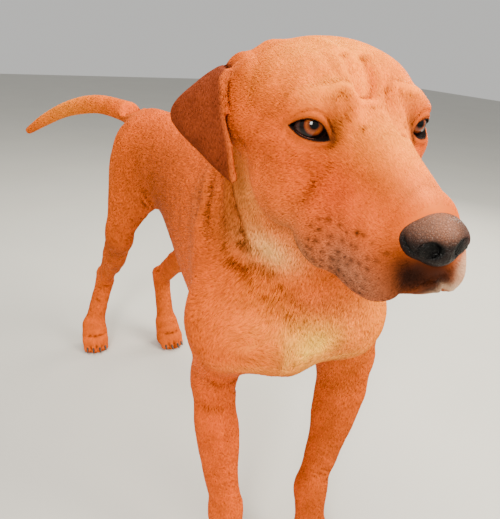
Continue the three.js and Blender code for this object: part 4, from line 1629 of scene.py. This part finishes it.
    def blended(self, points: Array, normals: Array, local: Array,
                ear: Array) -> tuple[Array, Array, Array]:
        """Blend the regions' coats where they meet.

        Args:
            points: the skin's vertices in the dog's frame.
            normals: the skin's normals there.
            local: the vertices in the head's frame.
            ear: how far each belongs to an ear's flap.

        Returns:
            The coat's way, its tufts' sizes, and which vertices lie off the ears.
        """
        distances = {name: form.distance(points) for name, form in self.body.regions().items()}
        least = np.min(list(distances.values()), axis=0)
        flows = self.flows(points, normals, local)
        pelts = self.pelts()
        shares = []
        for name, distance in distances.items():
            kind = "paw" if "paw" in name else name.split("_")[0]
            past = np.clip((distance - least) / self.meeting, 0, 30)
            shares.append((kind, np.exp(-past) * (1 - ear)))
        way = np.zeros_like(points)
        sizes = np.zeros((len(points), 4))
        for kind, share in (*shares, ("ear", ear)):
            way += unit(flows[kind]) * share[:, None]
            sizes += share[:, None] * pelts[kind].row
        body_share = sum(share for _, share in shares)
        return way, sizes / (body_share + ear)[:, None], body_share > 0.5

    def combed(self, piece: Piece, way: Array, normals: Array) -> Array:
        """Lay the way of the coat onto the skin and even it out, so that it never breaks.

        Args:
            piece: the skin.
            way: the way of the coat at its vertices.
            normals: its normals there.

        Returns:
            The way along the skin, evened out.
        """
        links = links_of(piece.data)
        way = way - normals * (way * normals).sum(axis=1)[:, None]
        strength = smoothstep(np.linalg.norm(way, axis=1), 0.05, 0.5)
        even = unit(way) * strength[:, None]
        for _ in range(14):
            even = eased(even, links, 0.85 - 0.6 * strength)
            even -= normals * (even * normals).sum(axis=1)[:, None]
        return even

    def bends(self, piece: Piece, points: Array, normals: Array, way: Array) -> Array:
        """Measure how much the skin bends along the coat's way.

        Args:
            piece: the skin.
            points: its vertices.
            normals: its normals there.
            way: the way of the coat there.

        Returns:
            The bend at each vertex, above zero where the skin falls away.
        """
        links = links_of(piece.data)
        first, second = np.concatenate([links, links[:, ::-1]]).T
        run = ((points[second] - points[first]) * way[first]).sum(axis=1)
        rise = ((normals[second] - normals[first]) * way[first]).sum(axis=1)
        count = len(points)
        bend = np.bincount(first, run * rise, count) / (np.bincount(first, run * run, count) + 0.3)
        for _ in range(9):
            bend = eased(bend, links, 0.7)
        # The legs, the tail and the ribs bend slowly along the hair, so their small ripples are left out.
        calm = bend
        for _ in range(50):
            calm = eased(calm, links, 0.7)
        plain = np.maximum(smoothstep(points[:, 1], 120, 200), smoothstep(points[:, 2], 350, 310))
        plain *= smoothstep(points[:, 2], 50, 70)
        bend += (np.clip(calm, -0.03, 0.03) - bend) * plain
        return np.clip(bend, -self.sharpest, self.sharpest)

    def roots(self, piece: Piece, fields: dict[str, Array]) -> dict[str, Array]:
        """Return the tufts' roots, spread evenly over the skin with the fields read there.

        Args:
            piece: the skin, all of it triangles, with its unwrap.
            fields: the fields at its vertices.

        Returns:
            The same fields at the roots, with each root's place on the unwrap.
        """
        rng = np.random.default_rng(self.seed)
        mesh = piece.data
        corners = read(mesh.loops, "vertex_index", 1, np.int32).reshape(-1, 3)
        unwrap = read(mesh.uv_layers["OFBake"].data, "uv", 2).reshape(-1, 3, 2)
        a, b, c = (fields["points"][corners[:, index]] for index in range(3))
        area = np.linalg.norm(np.cross(b - a, c - a), axis=1) / 2
        wanted = area * fields["sizes"][corners, 3].mean(axis=1) * (1 - fields["bare"][corners].mean(axis=1))
        log.info("tufts wanted: %d, at most %d", wanted.sum(), self.most)
        wanted *= min(1.0, self.most / wanted.sum())
        reach = np.concatenate(([0.0], np.cumsum(wanted))) + rng.random()
        counts = np.floor(reach[1:]).astype(int) - np.floor(reach[:-1]).astype(int)
        chosen = np.repeat(np.arange(len(counts)), counts)
        u, v = rng.random((2, len(chosen)))
        over = u + v > 1
        u[over], v[over] = 1 - u[over], 1 - v[over]
        share = np.stack([1 - u - v, u, v], axis=1)
        found = {
            name: (values[corners[chosen]] * (share if values.ndim == 1 else share[:, :, None])).sum(axis=1)
            for name, values in fields.items()
        }
        found["unwrap"] = (unwrap[chosen] * share[:, :, None]).sum(axis=1)
        found["random"] = rng.random((len(chosen), 5))
        keep = (found["bare"] < 0.5) & (np.linalg.norm(found["way"], axis=1) > 0.05)
        return {name: values[keep] for name, values in found.items()}

    def tufts(self, skin: BVHTree, roots: dict[str, Array], colour: Array) -> tuple[Array, Array]:
        """Return the four corners of every tuft and their colours.

        Args:
            skin: the skin's faces, in the dog's frame.
            roots: the roots' fields.
            colour: the coat's colour at each root.

        Returns:
            Corners and colours: left, right, ridge and tip of each tuft.
        """
        normal = unit(roots["normals"])
        way = unit(roots["way"])
        random = roots["random"]
        across = np.cross(normal, way)
        swing = (random[:, 0] - 0.5) * self.swing
        way = unit(way + across * swing[:, None])
        across = unit(np.cross(normal, way))
        length, width, lift, _ = roots["sizes"].T
        length = length * (0.7 + 0.6 * random[:, 1])
        width = width * (0.75 + 0.5 * random[:, 2])
        lift = lift * (0.65 + 0.7 * random[:, 3])
        base = roots["points"]
        start = base - normal * (self.sunk * lift)[:, None]
        left = start + across * width[:, None]
        right = start - across * width[:, None]
        fall = 0.5 * roots["bend"] * length ** 2
        crest = base + way * (self.ridge * length)[:, None] - normal * (0.15 * fall)[:, None]
        ridge = laid(skin, crest, lift)
        tip = laid(skin, base + way * length[:, None] - normal * fall[:, None], 0.5 * lift)
        corners = np.stack([left, right, ridge, tip], axis=1)
        corners[:, :, 2] = np.maximum(corners[:, :, 2], 0.2)
        shade = (0.80 + 0.38 * random[:, 4])[:, None]
        warm = 1 + (random[:, 1] - 0.5)[:, None] * np.array((0.02, 0.10, 0.16))
        middle = np.clip(colour * shade * warm, 0, 1)
        root = middle * self.root_shade
        light = np.clip(middle * self.tip_shade, 0, 1)
        return corners, np.stack([root, root, middle, light], axis=1)

    def build(self, skin: Skin, piece: Piece, fields: dict[str, Array],
              markings_and_light: MarkingsAndPaintedLight) -> list[Piece]:
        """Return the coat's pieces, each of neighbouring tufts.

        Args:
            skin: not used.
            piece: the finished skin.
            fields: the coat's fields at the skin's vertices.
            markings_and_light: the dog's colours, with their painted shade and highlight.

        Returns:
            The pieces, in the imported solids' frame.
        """
        roots = self.roots(piece, fields)
        faces = [tuple(face.vertices) for face in piece.data.polygons]
        surface = BVHTree.FromPolygons(fields["points"].tolist(), faces)
        corners, colours = self.tufts(surface, roots, markings_and_light.paint(roots["points"], roots["ear"]))
        made = []
        for name, chosen in self.zones(roots).items():
            parts = max(1, math.ceil(len(chosen) / self.piece_tufts))
            for number, some in enumerate(np.array_split(chosen, parts)):
                label = f"{name}_{number + 1}" if parts > 1 else name
                made.append(self.piece(label, corners[some], colours[some], roots["unwrap"][some]))
        return made

    def zones(self, roots: dict[str, Array]) -> dict[str, Array]:
        """Part the roots among the pieces of the coat.

        Args:
            roots: the roots' fields.

        Returns:
            Each piece's roots, in order from front to rear.
        """
        points, ear = roots["points"], roots["ear"] > 0.5
        local = self.body.head_frame(points)
        left = points[:, 0] > 0
        head = ~ear & (local[:, 1] < 125) & (local[:, 2] > -100 - 0.2 * local[:, 1]) & (points[:, 2] > 500)
        face = head & (local[:, 1] < 20)
        legs = ~ear & ~head & (points[:, 2] < 300)
        rear = points[:, 1] > 330
        rest = ~ear & ~head & ~legs
        masks = {
            "coat_ear_right": ear & ~left, "coat_ear_left": ear & left,
            "coat_face": face, "coat_crown": head & ~face,
            "coat_foreleg_right": legs & ~rear & ~left, "coat_foreleg_left": legs & ~rear & left,
            "coat_hindleg_right": legs & rear & ~left, "coat_hindleg_left": legs & rear & left,
            "coat_front": rest & (points[:, 1] < 110), "coat_ribs": rest & (points[:, 1] >= 110) & ~rear,
            "coat_quarters": rest & rear,
        }
        found = {}
        for name, mask in masks.items():
            chosen = np.flatnonzero(mask)
            found[name] = chosen[np.argsort(points[chosen, 1])]
        return found

    def piece(self, name: str, corners: Array, colours: Array, unwrap: Array) -> Piece:
        """Model one piece of the coat.

        Args:
            name: its name.
            corners: the tufts' corners, four to a tuft.
            colours: the colours there.
            unwrap: each tuft's place on the skin's unwrap.

        Returns:
            The piece: a closed spike of four triangles for every tuft.
        """
        count = len(corners)
        faces = np.array(((0, 2, 3), (2, 1, 3), (1, 0, 3), (0, 1, 2)), np.int32)
        index = (faces[None] + 4 * np.arange(count)[:, None, None]).reshape(-1)
        mesh = bpy.data.meshes.new(name)
        mesh.vertices.add(count * 4)
        mesh.loops.add(count * 12)
        mesh.polygons.add(count * 4)
        mesh.loops.foreach_set("vertex_index", index)
        mesh.polygons.foreach_set("loop_start", np.arange(count * 4, dtype=np.int32) * 3)
        set_points(mesh, (corners + self.shift).reshape(-1, 3))
        mesh.polygons.foreach_set("use_smooth", np.ones(count * 4, bool))
        paint_points(mesh, colours.reshape(-1, 3))
        layer = mesh.uv_layers.new(name="OFBake")
        patch = np.array(((-1, -1), (1, -1), (0, 0.2), (0, 1))) * 0.0015
        places = np.clip(unwrap[:, None] + patch[None], 0.001, 0.999)
        layer.data.foreach_set("uv", places.reshape(-1, 2)[index].astype(np.float32).ravel())
        mesh.update(calc_edges=True)
        piece = bpy.data.objects.new(name, mesh)
        bpy.context.scene.collection.objects.link(piece)
        return piece


def laid(skin: BVHTree, points: Array, heights: Array) -> Array:
    """Lay points at the given heights over the skin.

    Args:
        skin: the skin's faces.
        points: the points.
        heights: how high each is to lie.

    Returns:
        The points, over the nearest places of the skin.
    """
    found = np.empty_like(points)
    ways = np.empty_like(points)
    for index, point in enumerate(points.tolist()):
        found[index], ways[index], _, _ = skin.find_nearest(point)
    return found + ways * heights[:, None]


def paint_points(mesh: bpy.types.Mesh, colours: Array) -> None:
    """Store one colour for each vertex as the attribute that the coat's finish reads.

    Args:
        mesh: the mesh.
        colours: one for each vertex.
    """
    layer = mesh.color_attributes.new("marking_and_light", "FLOAT_COLOR", "POINT")
    full = np.concatenate([colours, np.ones((len(colours), 1))], axis=1)
    layer.data.foreach_set("color", full.astype(np.float32).ravel())


# ---- finishes
Socket = bpy.types.NodeSocket
Feed = Socket | float | Sequence[float]


@dataclass
class Recipe:
    """A material under way: its nodes and its main shader."""

    name: str
    material: bpy.types.Material = field(init=False)

    def __post_init__(self) -> None:
        """Make the material with its main shader."""
        self.material = bpy.data.materials.new(self.name)
        self.material.use_nodes = True
        self.shader = self.material.node_tree.nodes["Principled BSDF"]

    def feed(self, node: bpy.types.Node, feeds: dict[str | int, Feed]) -> None:
        """Feed a node's sockets, each from another node or with a constant value.

        Args:
            node: the node.
            feeds: for each socket, another node's socket or a value.
        """
        for place, value in feeds.items():
            if isinstance(value, Socket):
                self.material.node_tree.links.new(value, node.inputs[place])
            else:
                node.inputs[place].default_value = value

    def add(self, kind: str, result: str, feeds: dict[str | int, Feed] | None = None,
            **settings: object) -> Socket:
        """Add a node.

        Args:
            kind: its kind, without the words that all of them share.
            result: the name of the socket that gives its result.
            feeds: what its own sockets are fed.
            settings: the node's other settings.

        Returns:
            The socket of its result.
        """
        node = self.material.node_tree.nodes.new(f"ShaderNode{kind}")
        for name, value in settings.items():
            setattr(node, name, value)
        self.feed(node, feeds or {})
        return node.outputs[result]

    def place(self) -> Socket:
        """Add the piece's own coordinates, in metres."""
        return self.add("TexCoord", "Object")

    def vector(self, operation: str, *values: Feed, result: str = "Vector") -> Socket:
        """Add a sum of vectors, and return its result."""
        return self.add("VectorMath", result, dict(enumerate(values)), operation=operation)

    def number(self, operation: str, *values: Feed) -> Socket:
        """Add a sum of numbers, and return its result."""
        return self.add("Math", "Value", dict(enumerate(values)), operation=operation)

    def noise(self, scale: float, detail: float = 3.0, result: str = "Fac") -> Socket:
        """Add a noise on the piece's own coordinates, from 0 to 1."""
        feeds = {"Scale": scale, "Detail": detail, "Roughness": 0.55, "Vector": self.place()}
        return self.add("TexNoise", result, feeds)

    def ramp(self, source: Socket,
             stops: Sequence[tuple[float, Colour | float]]) -> Socket:
        """Add a colour ramp.

        Args:
            source: the value that it reads.
            stops: where each stop is, and its colour or its grey.

        Returns:
            The socket of its colour.
        """
        found = self.add("ValToRGB", "Color", {"Fac": source})
        bar = found.node.color_ramp
        while len(bar.elements) < len(stops):
            bar.elements.new(0.5)
        for element, (place, colour) in zip(bar.elements, stops):
            element.position = place
            element.color = (*(colour if isinstance(colour, tuple) else (colour,) * 3), 1)
        return found

    def multiplied(self, colour: Feed, by: Feed, share: float = 1.0) -> Socket:
        """Multiply a colour by another, by a share, and return the result."""
        feeds = {"Factor": share, "A": colour, "B": by}
        return self.add("Mix", "Result", feeds, data_type="RGBA", blend_type="MULTIPLY")

    def bump(self, height: Socket, strength: float, distance: float) -> Socket:
        """Raise the surface by a height in millimetres, and return its normal."""
        return self.add("Bump", "Normal", {"Strength": strength, "Distance": distance * MM, "Height": height})

    def finished(self, colour: Socket, **sockets: Feed) -> bpy.types.Material:
        """Finish the material.

        Args:
            colour: where its colour comes from.
            sockets: what the main shader's other sockets are fed, with _ for a space in their names.

        Returns:
            The material.
        """
        self.feed(self.shader, {"Base Color": colour})
        self.feed(self.shader, {name.replace("_", " "): value for name, value in sockets.items()})
        return self.material


@dataclass(frozen=True)
class CoatFinish:
    """Short glossy hair: the coat's colours with their painted shade and highlight, broken by soft noise."""

    name: str = "short_coat"
    roughness: float = 0.55
    specular: float = 0.05
    broken: float = 0.15
    grain: float = 0.0  # millimetres of bump

    def material(self) -> bpy.types.Material:
        """Return the finish."""
        recipe = Recipe(self.name)
        marking_and_light = recipe.add("Attribute", "Color", attribute_name="marking_and_light")
        shade = recipe.ramp(recipe.noise(55, 4), ((0.3, 1 - self.broken), (0.7, 1 + self.broken)))
        raised = {"Normal": recipe.bump(recipe.noise(900), 0.6, self.grain)} if self.grain else {}
        return recipe.finished(recipe.multiplied(marking_and_light, shade), Roughness=self.roughness,
                               Specular_IOR_Level=self.specular, **raised)


@dataclass(frozen=True)
class EyeFinish:
    """A wet brown eye: pupil, amber iris with a dark ring, and brown-white beyond it."""

    centre: Point
    gaze: Point
    radius: float
    name: str = "eye"
    pupil: float = 2.7
    iris: float = 7.4
    fray: float = 0.05  # how far the fibres fray each ring, as a share of the span
    span: float = 12.0  # how far from the pupil's middle the last colour lies, in millimetres
    black: Colour = tone(0.01, 0.01, 0.01)
    ring: Colour = tone(0.05, 0.025, 0.02)

    def material(self) -> bpy.types.Material:
        """Return the finish, laid round the line of sight."""
        recipe = Recipe(self.name)
        way = recipe.vector("NORMALIZE", recipe.vector("SUBTRACT", recipe.place(), self.centre))
        facing = recipe.vector("DOT_PRODUCT", way, self.gaze, result="Value")
        angle = recipe.number("ARCCOSINE", facing)
        reach = recipe.number("MULTIPLY", angle, self.radius / self.span)
        # Fibres run out from the pupil: a noise that only the direction round it changes.
        along = recipe.add("VectorMath", "Vector", {0: self.gaze, "Scale": facing}, operation="SCALE")
        spoke = recipe.vector("NORMALIZE", recipe.vector("SUBTRACT", way, along))
        fibre = recipe.add("TexNoise", "Fac", {"Scale": 9.0, "Detail": 4.0, "Vector": spoke})
        frayed = recipe.number("MULTIPLY_ADD", fibre, self.fray, reach)
        edge = self.iris / self.span
        hole = self.pupil / self.span
        stops = (
            (0.0, self.black), (hole + 0.01, self.black), (hole + 0.05, tone(0.28, 0.11, 0.035)),
            ((hole + edge) / 2 + 0.03, tone(0.52, 0.24, 0.07)), (edge - 0.05, tone(0.36, 0.14, 0.05)),
            (edge + 0.02, self.ring), (edge + 0.22, self.ring), (0.97, tone(0.20, 0.11, 0.09)),
        )
        streak = recipe.ramp(fibre, ((0.35, 0.62), (0.65, 1.2)))
        return recipe.finished(recipe.multiplied(recipe.ramp(frayed, stops), streak), Roughness=0.4,
                               Specular_IOR_Level=0.0, Coat_Weight=0.9, Coat_Roughness=0.015, Coat_IOR=1.36)


@dataclass(frozen=True)
class LeatherFinish:
    """The nose's leather: pebbled, moist, dark below and greyer on top."""

    name: str = "nose_leather"
    pebbles: float = 620.0  # to a metre
    waver: float = 0.003  # how far their edges wander, in metres

    def material(self) -> bpy.types.Material:
        """Return the finish."""
        recipe = Recipe(self.name)
        marking_and_light = recipe.add("Attribute", "Color", attribute_name="marking_and_light")
        warp = recipe.noise(260, 2, "Color")
        bent = recipe.vector("MULTIPLY_ADD", warp, (self.waver,) * 3, recipe.place())
        feeds = {"Scale": self.pebbles, "Vector": bent}
        rim = recipe.add("TexVoronoi", "Distance", feeds, feature="DISTANCE_TO_EDGE")
        crack = recipe.ramp(rim, ((0.0, 0.42), (0.18, 1.0)))
        raised = recipe.ramp(rim, ((0.0, 0.0), (0.25, 1.0)))
        return recipe.finished(recipe.multiplied(marking_and_light, crack, 0.8), Normal=recipe.bump(raised, 0.8, 0.35),
                               Roughness=0.42, Specular_IOR_Level=0.12, Coat_Weight=0.02,
                               Coat_Roughness=0.2)


@dataclass(frozen=True)
class MottledFinish:
    """A plain stuff that is paler in blotches or streaks."""

    name: str
    low: Colour
    high: Colour
    scale: float
    detail: float
    span: tuple[float, float]
    roughness: float
    specular: float = 0.5
    relief: float = 0.0  # millimetres of bump

    def material(self) -> bpy.types.Material:
        """Return the finish."""
        recipe = Recipe(self.name)
        blotch = recipe.noise(self.scale, self.detail)
        shade = recipe.ramp(blotch, tuple(zip(self.span, (self.low, self.high))))
        raised = {"Normal": recipe.bump(blotch, 0.4, self.relief)} if self.relief else {}
        return recipe.finished(shade, Roughness=self.roughness, Specular_IOR_Level=self.specular, **raised)


MOIST_LID = MottledFinish("moist_lid", tuple(v * 0.5 for v in tone(0.56, 0.36, 0.30)), tone(0.56, 0.36, 0.30),
                          scale=400, detail=2, span=(0.35, 0.65), roughness=0.12, specular=0.6)
CLAW_HORN = MottledFinish("claw_horn", tone(0.10, 0.07, 0.055), tone(0.26, 0.18, 0.13), scale=300, detail=4,
                          span=(0.3, 0.75), roughness=0.38, relief=0.15)
PALE_FLOOR = MottledFinish("pale_floor", tone(0.72, 0.715, 0.69),
                           tuple(v * 1.04 for v in tone(0.72, 0.715, 0.69)), scale=3, detail=2,
                           span=(0.3, 0.7), roughness=0.8)


# ---- eyes, nose and claws
@dataclass
class Eyes:
    """Both eyeballs with their corneas."""

    body: Body
    shift: Array
    cornea: float = 0.8
    lid_line: float = 0.22
    lid_swell: float = 0.26

    def build(self) -> list[Piece]:
        """Return the right eye and the left one, finished."""
        made = []
        for eye, name in zip(eye_frames(self.body), SIDES):
            radius = self.body.eye_radius
            bpy.ops.object.select_all(action="DESELECT")
            bpy.ops.mesh.primitive_uv_sphere_add(segments=72, ring_count=48, radius=radius * MM)
            ball = bpy.context.object
            points = points_of(ball.data)
            gaze = np.array(eye.gaze) / np.linalg.norm(eye.gaze)
            off = np.arccos(np.clip(unit(points) @ gaze, -1, 1))
            points *= (1 + self.cornea / radius * smoothstep(off, 0.62, 0.30))[:, None]
            set_points(ball.data, carry(points, eye.place) + self.shift)
            ball.name = f"eyeball_{name}"
            centre = np.array(eye.place.translation) + self.shift
            sight = turn(gaze[None], eye.place)[0]
            finish = EyeFinish(tuple(centre * MM), tuple(sight), radius, name=f"eye_{name}")
            outward(ball)
            bpy.ops.object.shade_smooth()
            dress(ball, finish.material(), "eye")
            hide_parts(f"eye_{name}")
            made += [ball, self.wet_line(eye, f"wet_line_{name}")]
        return made

    def wet_line(self, eye: EyeFrame, name: str) -> Piece:
        """Model the lids' moist edge, thick along the lower lid and hidden under the upper one.

        Args:
            eye: the eye.
            name: the name of the piece.

        Returns:
            The moist edge of its lids.
        """
        count, sides = 96, 8
        bpy.ops.object.select_all(action="DESELECT")
        bpy.ops.mesh.primitive_torus_add(major_segments=count, minor_segments=sides, major_radius=0.01,
                                         minor_radius=0.001)
        ring = bpy.context.object
        edge = eye.opening.edge(count)
        forward = eye.dome(edge[:, 0], edge[:, 1], self.body.eye_radius + 0.15)
        middle = np.stack([edge[:, 0], forward, edge[:, 1]], axis=1)
        along = unit(np.roll(middle, -1, axis=0) - np.roll(middle, 1, axis=0))
        across = unit(np.cross(along, unit(middle)))
        low = smoothstep(edge[:, 1], 1.5, -1.5)
        angle = np.linspace(0, 2 * math.pi, sides, endpoint=False)
        cosine, sine = np.cos(angle)[None, :, None], np.sin(angle)[None, :, None]
        rim = across[:, None] * cosine + unit(middle)[:, None] * sine
        points = middle[:, None] + rim * (self.lid_line + self.lid_swell * low)[:, None, None]
        set_points(ring.data, carry(points.reshape(-1, 3), eye.place) + self.shift)
        ring.name = name
        outward(ring)
        bpy.ops.object.shade_smooth()
        dress(ring, MOIST_LID.material(), "eye")
        return ring


@dataclass
class Nose:
    """The nose leather with its nostrils."""

    body: Body
    shift: Array
    cell: float = 0.8
    drawing: Drawing = Drawing(rounds=6, reach=1.5, probe=0.2, gentle=0.2)
    dark: Colour = tone(0.09, 0.05, 0.04)
    grey: Colour = tone(0.50, 0.32, 0.24)
    flush: Colour = tone(0.34, 0.15, 0.12)

    def form(self) -> Form:
        """Return the nose's form in the head's frame."""
        x, y, z = self.body.nose
        lumps = (
            Lump((x, y, z), (17, 13, 12)), Lump((x, y + 7, z + 7), (15, 13, 8)),
            *both(lambda s: Lump((s * 12.5, y + 5, z - 1), (9, 14, 10))), Lump((x, y - 3, z - 7), (10, 9, 7)),
        )
        nostrils = Melt(1, both(lambda s: Lump((s * 10.5, y - 10, z - 1.5), (6.2, 16, 5))))
        return Scoop(Melt(5, lumps), nostrils, 2)

    def slits(self) -> tuple[Fold, ...]:
        """Return the grooves of the nose: the slit behind each nostril and the line down its middle."""
        slit = ((11, -104, -43), (15, -101.5, -45), (19, -96, -44), (21.5, -90.5, -39), (22, -87, -34))
        return *fold_pair(slit, -1.2, 1.5), Fold(((0, -106, -42), (0, -104, -56)), -1.3, 0.9, rim=0.3)

    def build(self) -> list[Piece]:
        """Return the nose, finished."""
        piece = merged_copy("nose")
        set_points(piece.data, points_of(piece.data) - self.shift)
        remesh(piece, self.cell)
        points = self.body.head_frame(points_of(piece.data))
        whole = np.ones(len(points))
        points = self.drawing.onto(self.form(), points, links_of(piece.data), whole, 0.5 * whole)
        set_points(piece.data, points)
        lift = np.zeros(len(points))
        recess_shade = np.zeros(len(points))
        for fold in self.slits():
            own = fold.lift(points)
            lift += own
            recess_shade = np.maximum(recess_shade, -own / abs(fold.height))
        points += normals_of(piece.data) * lift[:, None]
        nostril = np.min([np.linalg.norm((points - np.array((s * 10.5, -103, -41.5))) / (6.6, 7, 5.2), axis=1)
                          for s in SIDES.values()], axis=0)
        recess_shade = np.maximum(recess_shade, smoothstep(nostril, 1.35, 1.0))
        top = smoothstep(points[:, 2], -40, -29) * (0.5 + 0.5 * smoothstep(points[:, 0], -16, 0))
        top *= 1 - 0.55 * smoothstep(points[:, 0], 3, 13)
        flush = Mark(Where.HEAD, (17, -98, -42), (7, 9, 7), self.flush, 0.7)
        colour = mixed(np.tile(self.dark, (len(points), 1)), self.grey, top)
        colour = mixed(colour, flush.colour, flush.share(points))
        # The nostrils and the grooves of the nose are painted black: painted shade in these hollows.
        colour *= (1 - 0.99 * np.clip(recess_shade, 0, 1))[:, None]
        set_points(piece.data, carry(points, self.body.head_place) + self.shift)
        paint_points(piece.data, colour)
        choose(piece)
        bpy.ops.object.shade_smooth()
        piece.name = "nose_pad"
        dress(piece, LeatherFinish().material(), "nose_leather")
        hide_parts("nose")
        return [piece]


@dataclass
class Claws:
    """The claws, one piece for each paw."""

    cell: float = 0.7

    def build(self) -> list[Piece]:
        """Return the claws of the four paws, finished."""
        made = []
        finish = CLAW_HORN.material()
        for paw, nodes in claw_nodes().items():
            piece = joined([merged_copy(node) for node in nodes], f"claws_{paw}")
            remesh(piece, self.cell)
            points = points_of(piece.data)
            links = links_of(piece.data)
            for _ in range(3):
                points = eased(points, links, 0.6)
            set_points(piece.data, points)
            choose(piece)
            bpy.ops.object.shade_smooth()
            dress(piece, finish, "claw")
            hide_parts(*nodes)
            made.append(piece)
        return made


def dress(piece: Piece, material: bpy.types.Material, slot: str) -> None:
    """Give a piece its one material and its ride on the dog.

    Args:
        piece: the piece.
        material: its finish.
        slot: not used.
    """
    piece.data.materials.clear()
    piece.data.materials.append(material)
    piece.data.name = piece.name
    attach(piece, "root")


# ---- studio
@dataclass(frozen=True)
class Softbox:
    """A square soft light that looks at the dog."""

    name: str
    place: Point
    power: float
    size: float
    colour: Colour = (1.0, 1.0, 1.0)
    target: Point = (0.0, -0.2, 0.42)

    def build(self) -> None:
        """Hang the light."""
        lamp = bpy.data.lights.new(self.name, "AREA")
        lamp.energy = self.power
        lamp.size = self.size
        lamp.color = self.colour
        hung = bpy.data.objects.new(self.name, lamp)
        bpy.context.scene.collection.objects.link(hung)
        hung.location = self.place
        aim = Vector(self.target) - Vector(self.place)
        hung.rotation_euler = aim.to_track_quat("-Z", "Y").to_euler()


@dataclass(frozen=True)
class Studio:
    """The floor, the soft lights and the camera."""

    camera_place: Point = (-0.3145, -0.4056, 0.6745)  # in the dog's frame, in metres
    pitch: float = 0.407744  # the angles are in radians
    roll: float = 0.072243
    heading: float = -0.536462
    lens: float = 36.07
    sensor: float = 36.0
    ambient: float = 0.64
    air: Colour = (0.98, 0.97, 0.94)

    def softboxes(self) -> tuple[Softbox, ...]:
        """Return the lights."""
        return (
            Softbox("key", (1.25, -1.5, 1.9), 112, 1.3, (1.0, 0.95, 0.82)),
            Softbox("window", (-1.3, -1.7, 1.45), 62, 0.55, (1.0, 0.96, 0.88)),
            Softbox("top", (-0.1, 0.2, 2.2), 62, 1.6, (1.0, 0.95, 0.84)),
            Softbox("edge", (1.5, 0.7, 1.1), 30, 0.9, (1.0, 0.92, 0.78)),
        )

    def build(self, shift: Array) -> None:
        """Lay the floor, hang the lights and set up the camera.

        Args:
            shift: from the dog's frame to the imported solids', in millimetres.
        """
        bpy.ops.object.select_all(action="DESELECT")
        bpy.ops.mesh.primitive_plane_add(size=14)
        floor = bpy.context.object
        floor.name = "floor"
        floor.data.materials.append(PALE_FLOOR.material())
        floor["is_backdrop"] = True
        for softbox in self.softboxes():
            softbox.build()
        world = bpy.data.worlds.new("studio_air")
        bpy.context.scene.world = world
        world.use_nodes = True
        air = world.node_tree.nodes["Background"]
        air.inputs["Color"].default_value = (*self.air, 1)
        air.inputs["Strength"].default_value = self.ambient
        self.place_camera(shift)

    def place_camera(self, shift: Array) -> None:
        """Set up the camera.

        Args:
            shift: from the dog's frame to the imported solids', in millimetres.
        """
        data = bpy.data.cameras.new("camera")
        data.sensor_width = self.sensor
        data.lens = self.lens
        data.clip_start = 0.01
        camera = bpy.data.objects.new("camera", data)
        bpy.context.scene.collection.objects.link(camera)
        bpy.context.scene.camera = camera
        turned = (
            Matrix.Rotation(self.heading, 4, "Z")
            @ Matrix.Rotation(math.pi / 2 - self.pitch, 4, "X")
            @ Matrix.Rotation(self.roll, 4, "Z")
        )
        camera.matrix_world = Matrix.Translation(Vector(self.camera_place) + Vector(shift * MM)) @ turned


# ---- the dog
def main() -> None:
    """Build the dog's pieces in order and report each."""
    logging.basicConfig(level=logging.INFO, format="%(name)s: %(message)s")
    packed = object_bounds()
    body = Body()
    eyes = [np.mean(np.array(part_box(f"eye_{side}")), axis=0) / MM for side in SIDES]
    shift = np.mean(eyes, axis=0) - np.array(body.in_head(0, body.eye_depth, 0))
    Studio().build(shift)
    skin = Skin(body, shift)
    # The creases are handed over to be darkened with painted shade.
    markings_and_light = MarkingsAndPaintedLight(body, tuple(fold for fold in skin.folds() if fold.height < 0))
    hide = skin.build()
    coat = Coat(body, shift)
    fields = coat.lie(skin, hide)
    paint_points(hide.data, markings_and_light.paint(fields["points"], fields["ear"]) * 0.92)
    dress(hide, CoatFinish("skin_under_coat", roughness=0.65, specular=0.05, grain=0.14).material(), "coat")
    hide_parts(*skin.nodes())
    report(hide)
    tufted = coat.build(skin, hide, fields, markings_and_light)
    finish = CoatFinish().material()
    for piece in tufted:
        dress(piece, finish, "ear_coat" if "ear" in piece.name else "coat")
        report(piece)
    for maker in (Eyes(body, shift), Nose(body, shift), Claws()):
        for piece in maker.build():
            report(piece)
    {"cad": plain(packed), "visual": plain(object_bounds())}


def plain(box: Sequence[Sequence[float]]) -> list[list[float]]:
    """Return a box as plain lists of numbers."""
    return [[float(value) for value in corner] for corner in box]


def report(piece: Piece) -> None:
    """Log a piece's name and size."""
    piece.data.calc_loop_triangles()
    log.info("%s: %d triangles", piece.name, len(piece.data.loop_triangles))


if __name__ == "__main__":
    main()
